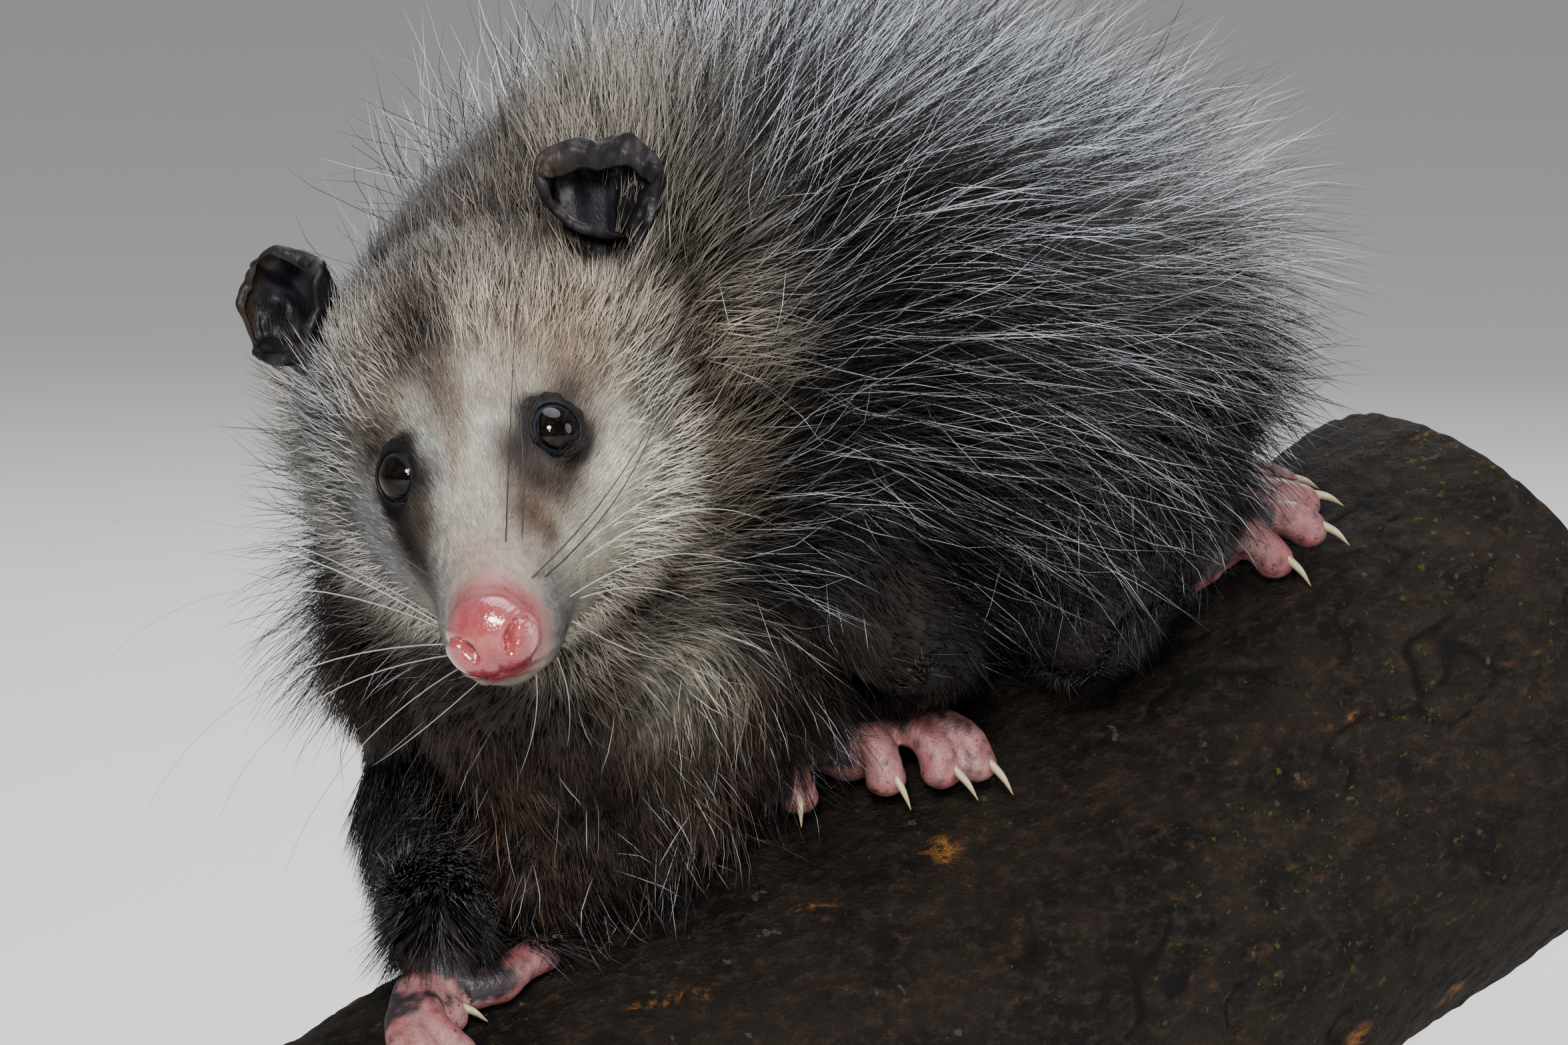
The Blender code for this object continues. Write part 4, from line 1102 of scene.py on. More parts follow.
@dataclass
class Head:
    """The head's skin as rings round its own forward axis, with the face worked into them.

    Each row of stations is (forward, top, bottom, half width). A ring's point is (half width cos a, forward,
    middle + (top or bottom - middle) sin a), where the middle is the cheek line's share of the height.
    """

    stations: list = field(default_factory=lambda: [
        (-78, 6, -26, 12), (-73, 18, -34, 25), (-65, 25.5, -41, 32), (-56, 28.2, -45.5, 35),
        (-47, 28.2, -48, 37), (-38, 26.8, -48.5, 38), (-28, 24.2, -48.5, 38), (-18, 20.5, -47.5, 35),
        (-9, 16.5, -46, 30.5), (0, 12, -44, 25.8), (10, 7, -42.5, 21.2), (20, 2, -41, 17.8),
        (30, -3, -40, 15), (40, -7.5, -39.5, 13), (48, -10.5, -38.6, 11.4), (53, -12, -37, 10.2),
        (56, -12.6, -34.5, 9.4), (58.5, -12.8, -32.2, 9.6), (61.5, -13.2, -31.4, 9.9), (64, -14.6, -30, 9),
        (66, -16.8, -28, 6.9), (67.3, -19.6, -25.2, 3.8), (67.7, -21.8, -23, 1)])
    cheek_line: float = 0.46
    sides: int = 180
    eye_at: tuple = (16.6, -1.0, -0.5)
    eye_radius: float = 7.2
    eye_look: tuple = (0.53, 0.78, 0.335)
    mouth: list = field(default_factory=lambda: [
        (0, 60, -33), (5, 58.5, -33.2), (8.5, 54, -33.6), (11, 46, -35), (13.5, 36, -36.5), (17, 22, -38.5),
        (23, 8, -36)])
    nostril: list = field(default_factory=lambda: [
        (3.9, 67.2, -24.2), (4.8, 66.8, -21.4), (6.5, 66, -19.4), (8.4, 64.4, -18.6), (9.9, 61.8, -19.6),
        (10.2, 60, -21.6)])

    def rings(self) -> Array:
        """Forward places of the rings: widest apart behind, closer on the muzzle, closest round the nose."""
        return np.concatenate([np.arange(-78, -14, 2.0), np.arange(-14, 13, 0.95), np.arange(13, 44, 0.95),
                               np.arange(44, 60, 0.5), 60 + 7.7 * np.sin(np.linspace(0, math.pi / 2, 27))])

    def form(self) -> Array:
        """The rings before the face is worked into them, as a grid of head places.

        Returns:
            The grid, one row to a ring.
        """
        table = curve_rows(self.stations, 8)
        forward = self.rings()
        top, bottom, width = (np.interp(forward, table[:, 0], table[:, k])[:, None] for k in (1, 2, 3))
        middle = bottom + self.cheek_line * (top - bottom)
        a = turn(self.sides)[None, :]
        rise = np.where(np.sin(a) > 0, top - middle, middle - bottom) * np.sin(a)
        return np.stack([width * np.cos(a), forward[:, None] + 0 * a, middle + rise], -1)

    def relief(self, p: Array) -> Array:
        """How far the face stands off the plain form: hills on cheeks, whisker beds and nose, and valleys.

        Args:
            p: Head places.

        Returns:
            The height off the form, in millimetres.
        """
        q = np.column_stack([np.abs(p[:, 0]), p[:, 1:]])
        mouth = path_distance(q, curve_rows(self.mouth, 4))
        slit = path_distance(q, curve_rows(self.nostril, 4))
        out = 1.7 * hill(q, (9.5, 42, -27), (5, 8, 5)) + 0.5 * hill(q, (8.4, 61, -24), (3.0, 3.6, 3.8))
        out += 0.6 * hill(q, (4.6, 66, -27.5), (3.0, 3, 2.4)) + 0.8 * hill(q, (0, 62, -15), (6, 4, 4))
        out += -0.9 * hill(q, (0, 67, -27.5), (0.9, 6, 3.6)) - 1.2 * hill(q, (0, 20, -1), (4, 16, 6))
        out += 1.6 * hill(q, (22, -12, -20), (10, 12, 10)) + 1.4 * hill(q, (12, 8, 7), (5, 5, 4))
        out += 9.0 * hill(q, (31, -49, 9), (10, 13, 10))
        out += -1.9 * np.exp(-(mouth / 0.8) ** 2) + 0.8 * np.exp(-((mouth - 2.2) / 1.3) ** 2)
        out += -1.8 * np.exp(-(slit / 0.75) ** 2) + 0.25 * np.exp(-((slit - 2.0) / 0.9) ** 2)
        return out - 1.5 * hill(q, (5.0, 67, -21.8), (1.2, 3, 1.2))

    def socketed(self, p: Array) -> Array:
        """The skin let in under both eyeballs: no higher along the gaze than a slightly smaller ball.

        Args:
            p: Head places on the skin.

        Returns:
            The places, with those over an eyeball let in.
        """
        bed = self.eye_radius - 0.6
        for side in (1.0, -1.0):
            centre, look = self.eye(side)
            v = p - centre
            depth = v @ look
            across = np.linalg.norm(v - depth[:, None] * look, axis=1)
            sink = np.sqrt(np.maximum(bed**2 - across**2, 0.0)) - depth
            inside = (across < bed) & (depth > 0)
            p = np.where((inside & (sink < 0))[:, None], p + sink[:, None] * look, p)
        return p

    def eye(self, side: float) -> tuple[Array, Array]:
        """An eye's centre and gaze as head places; side is 1 for the left."""
        flip = np.array((side, 1.0, 1.0))
        return np.array(self.eye_at) * flip, unit(np.array(self.eye_look)) * flip

    def shell(self) -> Surface:
        """The head's closed skin in body places.

        Returns:
            The closed surface.
        """
        grid = self.form()
        around = np.roll(grid, -1, axis=1) - np.roll(grid, 1, axis=1)
        normal = unit(np.cross(around, np.gradient(grid, axis=0))).reshape(-1, 3)
        p = grid.reshape(-1, 3)
        outwards = np.sum(normal * (p - np.array((0, 10, -20))), axis=1).mean()
        p = p + normal * math.copysign(1.0, outwards) * self.relief(p)[:, None]
        return Surface(on_head(self.socketed(p)), grid_faces(len(grid), self.sides))


@dataclass
class Markings:
    """The colours of coat and skin over the whole animal, as soft spots laid over each other.

    A spot is a row of its centre and size in millimetres, its red, green and blue in thousandths, and its
    strength in hundredths. Each one mixes its colour in by strength times a hill.
    """

    face: Colour = (0.72, 0.665, 0.565)
    body: Colour = (0.021, 0.0155, 0.014)
    leg: Colour = (0.014, 0.0105, 0.0095)
    breast: Colour = (0.060, 0.039, 0.030)
    eye_ring: Colour = (0.022, 0.015, 0.013)
    guard_white: Colour = (0.74, 0.78, 0.84)
    guard_black: Colour = (0.010, 0.0085, 0.009)
    leg_grey: Colour = (0.17, 0.17, 0.185)
    head_spots: list = field(default_factory=lambda: [
        (0, -106, 30, 44, 32, 28, 45, 36, 32, 97), (14, -84, 32, 20, 17, 14, 115, 88, 72, 80),
        (-2, -62, 26, 24, 18, 12, 165, 138, 122, 90), (2, -40, 24, 20, 15, 10, 240, 200, 165, 75),
        (-26, -84, 20, 16, 18, 18, 40, 32, 30, 85), (-2, -22, 21, 13, 7, 8, 420, 350, 280, 60),
        (20, -56, 22, 11, 11, 9, 125, 98, 80, 75), (27, -27, 14, 12, 13, 9, 360, 265, 180, 80),
        (-21, -36, 20, 9, 14, 9, 400, 350, 300, 70), (-30, -58, 14, 7, 10, 12, 75, 55, 45, 75),
        (-26, -18, 8, 7, 9, 9, 320, 240, 185, 70), (3, 10, 8, 9, 18, 9, 840, 800, 720, 85),
        (29, -6, -20, 11, 18, 15, 860, 820, 730, 95), (38, -30, -2, 7, 12, 12, 600, 575, 500, 80),
        (-30, -4, -14, 9, 17, 13, 660, 680, 710, 85), (-37, -36, 10, 8, 14, 12, 370, 385, 410, 85),
        (-41, -40, -8, 9, 16, 14, 240, 245, 255, 80), (-38, -34, -32, 12, 18, 12, 105, 80, 68, 90),
        (-9, -36, 24, 5.5, 22, 9, 75, 52, 43, 88), (-3, -4, 15, 2.6, 14, 7, 300, 225, 170, 60),
        (45, -50, 2, 9, 13, 13, 170, 138, 100, 85), (54, -68, 12, 12, 18, 16, 105, 85, 68, 88),
        (54, -54, -24, 10, 17, 16, 85, 66, 52, 90), (47, -44, -44, 13, 18, 12, 105, 82, 70, 90),
        (22, -26, -52, 16, 22, 9, 85, 62, 50, 90), (-18, -24, -54, 16, 26, 9, 80, 58, 47, 90),
        (13, 43, -25, 5, 11, 8, 210, 195, 190, 80), (13, 40, -35, 7, 12, 5, 100, 92, 95, 85),
        (-12, 34, -18, 5, 11, 8, 480, 520, 560, 60), (-12, 38, -33, 7, 14, 5, 170, 150, 140, 80),
        (0, 50, -9, 8, 11, 6, 520, 330, 290, 70), (-8, 8, 4, 3, 10, 5, 500, 560, 620, 50),
        (10, 11, 0, 4.6, 7, 5.5, 60, 38, 30, 95), (16, 16, -8, 6, 5.5, 4.2, 130, 80, 56, 85),
        (8, -4, 9, 5, 6, 5, 220, 155, 115, 70), (0, 62, -35, 9, 8, 3.6, 260, 190, 180, 70),
        (9.5, 24, -7, 3, 10, 5, 150, 86, 52, 88), (14, 22, -11, 2.2, 6, 3, 260, 170, 120, 50),
        (18, -12, 7, 6, 4, 4, 130, 85, 65, 70), (-18.5, 9, -9, 4.6, 7, 5.5, 60, 36, 28, 94),
        (-24, -3, 6, 5, 6, 4, 140, 90, 70, 70), (-16, 20, -14, 3.2, 9, 4.2, 130, 72, 44, 85),
        (-20, -10, 3, 5, 4, 4, 140, 95, 75, 70), (0, 46, -43, 12, 20, 4.2, 40, 30, 27, 95),
        (23, -18, 9, 9, 7, 7, 360, 270, 190, 75), (10, -20, 17, 5, 9, 6, 340, 265, 200, 60),
        (11.5, 11, 2, 4.2, 5.5, 5, 42, 28, 23, 97), (13.5, 16, -4, 4.2, 4.5, 3.6, 60, 40, 31, 95),
        (19, 10, -8, 6, 4, 3.2, 85, 55, 40, 93), (12, 28, -9, 2, 4, 2.6, 150, 80, 42, 85),
        (14, 28, -14, 1.8, 5, 2.6, 140, 80, 45, 80), (-3, 11, 5, 2.2, 8, 4, 360, 250, 170, 70),
        (-7, -28, 22, 5.5, 8, 7, 50, 38, 32, 92), (-5, -8, 16, 3, 9, 6, 150, 108, 85, 80),
        (-1, 0, 12, 2.4, 8, 5, 260, 190, 150, 65), (-22, -9, 5, 5, 5.5, 4, 95, 65, 50, 90),
        (-13, 17, -6, 3, 8, 4, 110, 65, 43, 88), (-19, 11, -12, 3.2, 7, 4, 80, 48, 35, 90),
        (-11.5, 11, 1, 3.4, 5.5, 4.5, 55, 36, 30, 95), (22, -8, 5, 5.5, 4, 3.4, 80, 53, 40, 93),
        (25, -3, -2, 3.4, 5, 4, 85, 56, 42, 88), (40, -40, -24, 11, 10, 16, 200, 162, 122, 80),
        (59, -74, 4, 12, 18, 30, 50, 41, 36, 92)])
    body_spots: list = field(default_factory=lambda: [
        (62, -36, 122, 15, 14, 13, 220, 205, 190, 85), (40, -44, 96, 10, 12, 12, 130, 118, 108, 70),
        (-84, -46, 34, 8, 14, 12, 440, 410, 340, 90), (-64, -40, 20, 8, 12, 8, 260, 225, 185, 80),
        (-108, -30, 34, 9, 10, 9, 170, 140, 115, 60), (-70, -34, 2, 7, 9, 7, 150, 115, 90, 60),
        (-107, -14, 4, 4.5, 9, 5, 250, 180, 140, 80), (-100, -6, -12, 4, 7, 5, 170, 120, 92, 70)])

    def coat(self, places: Array, head: Array) -> Array:
        """The coat's colour.

        Args:
            places: Body places.
            head: How much each place belongs to the head, from 0 to 1.

        Returns:
            One colour to a place.
        """
        h = to_head(places)
        on_face = self.spotted(h, self.face, self.head_spots)
        for side in (1.0, -1.0):
            off = np.linalg.norm(h - np.array((16.2 * side, 0.4, -1.0)), axis=1)
            ring = 0.95 * smoothstep(12.6, 9.4, off)[:, None]
            on_face = on_face * (1 - ring) + np.array(self.eye_ring) * ring
        low = (smoothstep(56, 22, places[:, 2]) * smoothstep(0, -50, places[:, 0]))[:, None]
        ground = np.array(self.body) * (1 - low) + np.array(self.breast) * low
        on_body = self.spotted(places, ground, self.body_spots)
        head = head[:, None]
        far = (0.25 + 0.75 * smoothstep(-6, -46, h[:, 1]))[:, None] * head + 0.9 * (1 - head)
        mottle = 1 + far * (0.22 * ripple(places, 3.6, 3) + 0.17 * ripple(places, 9.0, 5)
                            + 0.10 * ripple(places, 26.0, 4))[:, None]
        return np.clip((on_face * head + on_body * (1 - head)) * mottle, 0.004, 0.95)

    @staticmethod
    def spotted(places: Array, ground: Array | Colour, spots: list) -> Array:
        """A ground colour with each spot mixed in by its strength times a hill.

        Args:
            places: Places in the spots' own measure.
            ground: The colour below, or one to a place.
            spots: The spots.

        Returns:
            One colour to a place.
        """
        out = np.zeros((len(places), 3)) + np.array(ground)
        for spot in spots:
            share = (spot[9] / 100 * hill(places, spot[:3], spot[3:6]))[:, None]
            out = out * (1 - share) + np.array(spot[6:9]) / 1000 * share
        return out


@dataclass
class Skin:
    """The one skin under the whole coat, joined from its shells so that no seam shows."""

    head: Head
    markings: Markings
    trunk: list = field(default_factory=lambda: [
        (150, 37, 74, 3, 3, 3), (142, 36, 76, 17, 17, 16), (128, 34, 80, 33, 32, 27),
        (108, 31, 85, 47, 43, 37), (82, 26, 88, 57, 51, 48), (54, 21, 89, 62, 56, 57),
        (24, 15, 91, 62, 60, 60), (-8, 8, 92, 58, 65, 62), (-36, 1, 84, 53, 66, 66),
        (-60, -4, 64, 47, 62, 62), (-79, -8, 38, 40, 52, 46), (-90, -9, 14, 30, 36, 32),
        (-95, -9, -4, 13, 14, 12)])
    neck: list = field(default_factory=lambda: [
        (-34, 2, 106, 44, 48, 46), (-60, 3, 104, 50, 49, 50), (-82, 2, 98, 48, 42.5, 46),
        (-98, -4, 92, 41, 34.5, 40), (-112, -20, 86, 28, 25, 28)])
    chest: list = field(default_factory=lambda: [
        (-30, -4, 34, 30), (-56, -6, 17, 27), (-80, -6, -4, 23), (-95, -2, -18, 17)])
    tail: list = field(default_factory=lambda: [
        (146, 26, 42, 15), (158, 42, 30, 11.4), (163, 66, 13.4, 9.4), (156, 86, 8.9, 8.6),
        (136, 102, 8.2, 7.9), (108, 114, 7.6, 7.3), (78, 122, 6.9, 6.6), (48, 128, 6.2, 5.9),
        (20, 136, 5.5, 5.1), (-2, 150, 4.7, 4.3), (-14, 168, 3.9, 3.5), (-10, 186, 3.3, 2.8),
        (4, 196, 2.9, 2.3)])
    nose_spots: list = field(default_factory=lambda: [
        (0, 54, -11, 7, 8, 3.4, 330, 150, 140, 85), (2.6, 66, -21, 3.4, 3.4, 3.4, 380, 120, 112, 80),
        # the pale spot at the nostril wing, (9.8, 61.5, -25), is a painted highlight on wet skin
        (9.8, 61.5, -25, 1.6, 3, 3.6, 500, 310, 300, 80), (6.8, 64, -15, 2, 2.2, 1.6, 360, 150, 145, 50),
        (0, 52, -38, 9, 9, 5, 100, 50, 48, 90)])
    slate: Colour = (0.034, 0.029, 0.034)
    toe_pink: Colour = (0.30, 0.16, 0.158)
    nose_rose: Colour = (0.27, 0.060, 0.072)
    tail_root: Colour = (0.10, 0.08, 0.08)
    tail_tip: Colour = (0.40, 0.29, 0.25)
    body_voxel: float = 3.0
    foot_voxel: float = 1.0

    @staticmethod
    def barrel(rows: list, sides: int = 48) -> Surface:
        """A lofted trunk: centre + width cos a side + (rise or drop) sin a rise, square to its own path.

        Args:
            rows: Rows of (x, y, z, width, rise, drop) along the path.
            sides: Points on a ring.

        Returns:
            The closed surface.
        """
        fine = curve_rows(rows, 6)
        side, rise = path_frames(fine[:, :3], np.array((0.0, 0.0, 1.0)))
        a = turn(sides)[None, :, None]
        high = np.where(np.sin(a) > 0, fine[:, None, 4:5], fine[:, None, 5:6]) * np.sin(a)
        points = fine[:, None, :3] + fine[:, None, 3:4] * np.cos(a) * side[:, None] + high * rise[:, None]
        return Surface(points.reshape(-1, 3), grid_faces(len(fine), sides))

    def tail_shell(self) -> Surface:
        """The tail as a tube along its curve on the limb's far side, with scale rows as a fine swell.

        Returns:
            The closed surface.
        """
        rows = curve_rows(self.tail, 18)
        radius = rows[:, 3] * (1 + 0.012 * np.sin(np.linspace(0, 1, len(rows)) * 260))
        tip = rows[-1, 3] * np.array((0.92, 0.72, 0.4))
        centres = on_limb(rows[:, :3])
        last = centres[-1] + unit(centres[-1] - centres[-2]) * np.array([[0.6], [1.3], [2.0]])
        return tube(np.vstack([centres, last]), np.append(radius, tip), 22)

    def build(self) -> Piece:
        """Builds and joins the shells, marks each shell's faces with its region, and softens the seams between
        them.

        Returns:
            The skin's object.
        """
        chest = curve_rows(self.chest, 5)
        shells = [self.barrel(self.trunk), self.barrel(self.neck), tube(chest[:, :3], chest[:, 3], 24),
                  ball(chest[-1, :3], (chest[-1, 3],) * 3)]
        body = fused("skin", shells + [s for leg in LEGS for s in leg.upper_shells()], self.body_voxel, 6)
        parts = [(Region.HEAD, self.head.shell().piece("head_shell")),
                 (Region.TAIL, self.tail_shell().piece("tail_shell"))]
        for leg in LEGS:
            parts.append((leg.region, fused(leg.node + "_shell", leg.lower_shells(), self.foot_voxel, 2)))
        slots = [bpy.data.materials.new(region.name) for region in Region]
        for slot in slots:
            body.data.materials.append(slot)
        for region, part in parts:
            outward(part.data)
            for slot in slots:
                part.data.materials.append(slot)
            faces = part.data.polygons
            faces.foreach_set("material_index", np.full(len(faces), region.value, np.int32))
            join = body.modifiers.new("join", 'BOOLEAN')
            join.operation = 'UNION'
            join.solver = 'MANIFOLD'
            join.object = part
        settled(body)
        for _, part in parts:
            bpy.data.objects.remove(part, do_unlink=True)
        self.soften_seams(body.data)
        return body

    @staticmethod
    def soften_seams(mesh: Mesh, rings: int = 4, rounds: int = 8) -> None:
        """Moves points near a seam to the mean of their neighbours, several times over.

        Args:
            mesh: The joined skin.
            rings: How many edges away from a seam still count as near.
            rounds: How many times the points move.
        """
        points, _, triangles, kinds = mesh_arrays(mesh)
        low, high = np.full(len(points), 99), np.full(len(points), -1)
        for k in range(3):
            np.minimum.at(low, triangles[:, k], kinds)
            np.maximum.at(high, triangles[:, k], kinds)
        near = (low != high).astype(float)
        edges = np.empty(len(mesh.edges) * 2, int)
        mesh.edges.foreach_get("vertices", edges)
        a, b = edges.reshape(-1, 2).T
        for _ in range(rings):
            spread = near.copy()
            np.maximum.at(spread, a, near[b] * 0.86)
            np.maximum.at(spread, b, near[a] * 0.86)
            near = spread
        degree = np.bincount(a, minlength=len(points)) + np.bincount(b, minlength=len(points))
        for _ in range(rounds):
            total = [np.bincount(a, points[b, k], len(points)) + np.bincount(b, points[a, k], len(points))
                     for k in range(3)]
            mean = np.stack(total, 1) / np.maximum(degree, 1)[:, None]
            points = points + (mean - points) * (near * 0.6)[:, None]
        mesh.vertices.foreach_set("co", ((points + GRIP) * MM).ravel())
        mesh.update()

    def bare(self, places: Array, kinds: Array) -> Array:
        """How bare the skin is: the nose, the feet past the ankle, and the tail past its root.

        Args:
            places: Body places.
            kinds: The number of each place's region.

        Returns:
            A share from 0 to 1 to a place.
        """
        h = to_head(places)
        snout = smoothstep(45.0, 57.0, h[:, 1] - 0.4 * np.maximum(-(h[:, 2] + 20), 0))
        out = snout * (kinds == Region.HEAD.value)
        low = smoothstep(24.0, 14.0, limb_offset(places)[0] - LIMB_RADIUS)
        for leg in LEGS:
            ankle, sole = (on_limb(leg.foot[k][:3]) for k in ("ankle", "sole"))
            past = smoothstep(2.0, 11.0, (places - ankle) @ unit(sole - ankle)) * low
            out = np.maximum(out, past * (kinds == leg.region.value))
        run, length = self.tail_run(places)
        return np.maximum(out, smoothstep(0.06, 0.12, run / length) * (kinds == Region.TAIL.value))

    def flesh(self, places: Array, kinds: Array) -> Array:
        """The colour of bare skin: slate backs of the feet, pink toes and soles, a rose nose, a dusky tail.

        Args:
            places: Body places.
            kinds: The number of each place's region.

        Returns:
            One colour to a place.
        """
        pink = smoothstep(7.5, 4.0, limb_offset(places)[0] - LIMB_RADIUS)
        for leg in LEGS:
            for digit in leg.foot["digits"]:
                path = on_limb(curve_rows(digit, 4)[7:, :3])
                pink = np.maximum(pink, smoothstep(7.6, 5.4, path_distance(places, path)))
        pink = pink + 0.22 * ripple(places, 3.2, 61) + 0.12 * ripple(places, 8.0, 63) - 0.06
        out = self.between(self.slate, self.toe_pink, np.clip(pink, 0, 1))
        h = to_head(places)
        nose = Markings.spotted(np.column_stack([np.abs(h[:, 0]), h[:, 1:]]), self.nose_rose, self.nose_spots)
        out = np.where((kinds == Region.HEAD.value)[:, None], nose, out)
        run, length = self.tail_run(places)
        tail = self.between(self.tail_root, self.tail_tip, smoothstep(0.1, 0.3, run / length))
        return np.where((kinds == Region.TAIL.value)[:, None], tail, out)

    @staticmethod
    def between(first: Colour, second: Colour, share: Array) -> Array:
        """One colour run into another by a share to each place."""
        return np.array(first) * (1 - share[:, None]) + np.array(second) * share[:, None]

    def tail_run(self, places: Array) -> tuple[Array, float]:
        """How far along the tail's curve each place lies, and how long the curve is.

        Args:
            places: Body places.

        Returns:
            The run to the nearest point on the curve plus the rest along its heading, and the whole length,
            in millimetres.
        """
        path = on_limb(curve_rows(self.tail, 6)[:, :3])
        run = np.concatenate([[0], np.cumsum(np.linalg.norm(np.diff(path, axis=0), axis=1))])
        nearest, best = np.zeros(len(places), int), np.full(len(places), np.inf)
        for i, p in enumerate(path):
            d = np.linalg.norm(places - p, axis=1)
            nearest, best = np.where(d < best, i, nearest), np.minimum(d, best)
        ahead = unit(np.gradient(path, axis=0))[nearest]
        return run[nearest] + np.sum((places - path[nearest]) * ahead, axis=1), float(run[-1])


# ---------------------------------------------------------------- coat

@dataclass(frozen=True)
class Hair:
    """How one kind of hair grows.

    Attributes:
        count: How many tufts.
        width: Width at the widest, in millimetres.
        rings: Rings short of the tip.
        lift: Degrees off the skin at the root and at the tip.
        vary: How far the lift spreads from hair to hair, as a share.
        sway: Spread of the lie to either side, in degrees.
        clump: The size of a clump in millimetres, and how far its tips draw together.
        curl: Sideways waver at the tip as a share of the length.
        taper: Width at the last ring as a share of the widest.
    """

    count: int
    width: float
    rings: int
    lift: tuple[float, float]
    vary: float
    sway: float
    clump: tuple[float, float]
    curl: float
    taper: float = 0.6


@dataclass
class Tufts:
    """Hair of one kind: the line of each tuft, its half widths, and the colours along it."""

    lines: Array
    widths: Array
    colours: Array
    chance: Array
    unwrap: Array

    def kept(self, mask: Array) -> "Tufts":
        """Only the tufts that the mask keeps."""
        return Tufts(*(values[mask] for values in (self.lines, self.widths, self.colours, self.chance,
                                                   self.unwrap)))

    def rings(self) -> Array:
        """Three points round each line point: line + half width (cos a side + 0.55 sin a rise).

        Returns:
            The points, by tuft, ring and corner.
        """
        ahead = unit(np.gradient(self.lines, axis=1))[:, :-1]
        side = unit(np.cross(ahead, OUTWARD + 0.3 * FARSIDE))
        rise = np.cross(ahead, side)
        a = (turn(3) + 0.4)[None, None, :, None]
        ring = np.cos(a) * side[:, :, None] + 0.55 * np.sin(a) * rise[:, :, None]
        return self.lines[:, :-1, None] + ring * self.widths[:, :, None, None]

    def piece(self, name: str, patch: float = 0.003) -> Piece:
        """The tufts as one mesh of closed three-sided spikes, each with its own patch on the unwrap.

        Args:
            name: The piece's name.
            patch: How far each tuft's patch reaches on the unwrap.

        Returns:
            The object.
        """
        count, rings = len(self.lines), self.lines.shape[1] - 1
        points = np.concatenate([self.rings().reshape(count, -1, 3), self.lines[:, -1:]], 1).reshape(-1, 3)
        ring, side, wrap = [], [], []
        for j in range(rings - 1):
            for s in range(3):
                ring += [[j, j, j + 1], [j, j + 1, j + 1]]
                wrap += [[s, s + 1, s + 1], [s, s + 1, s]]
        for s in range(3):
            ring.append([rings - 1, rings - 1, rings])
            wrap.append([s, s + 1, s])
        ring.append([0, 0, 0])
        wrap.append([2, 1, 0])
        ring, wrap = np.array(ring), np.array(wrap)
        local = np.where(ring < rings, ring * 3 + wrap % 3, rings * 3)
        faces = (local[None] + (np.arange(count) * (rings * 3 + 1))[:, None, None]).reshape(-1, 3)
        mesh = bpy.data.meshes.new(name)
        mesh.vertices.add(len(points))
        mesh.vertices.foreach_set("co", ((points + GRIP) * MM).astype(np.float32).ravel())
        mesh.loops.add(faces.size)
        mesh.loops.foreach_set("vertex_index", faces.ravel().astype(np.int32))
        mesh.polygons.add(len(faces))
        mesh.polygons.foreach_set("loop_start", (np.arange(len(faces)) * 3).astype(np.int32))
        mesh.update(calc_edges=True)
        mesh.shade_smooth()
        spread = np.stack([wrap / 3.0, ring / rings], -1).reshape(1, -1, 2) * patch
        uv = self.unwrap[:, None, :] * (1 - 2 * patch) + spread
        mesh.uv_layers.new(name="OFBake").data.foreach_set("uv", uv.astype(np.float32).ravel())
        along = np.append(np.repeat(np.arange(rings), 3), rings) / rings
        point_values(mesh, "Along", np.tile(along, count))
        point_values(mesh, "Chance", np.repeat(self.chance, rings * 3 + 1))
        colours = np.concatenate([np.repeat(self.colours[:, :-1], 3, axis=1), self.colours[:, -1:]], 1)
        point_values(mesh, "Mark", colours.reshape(-1, 3))
        return linked(name, mesh)


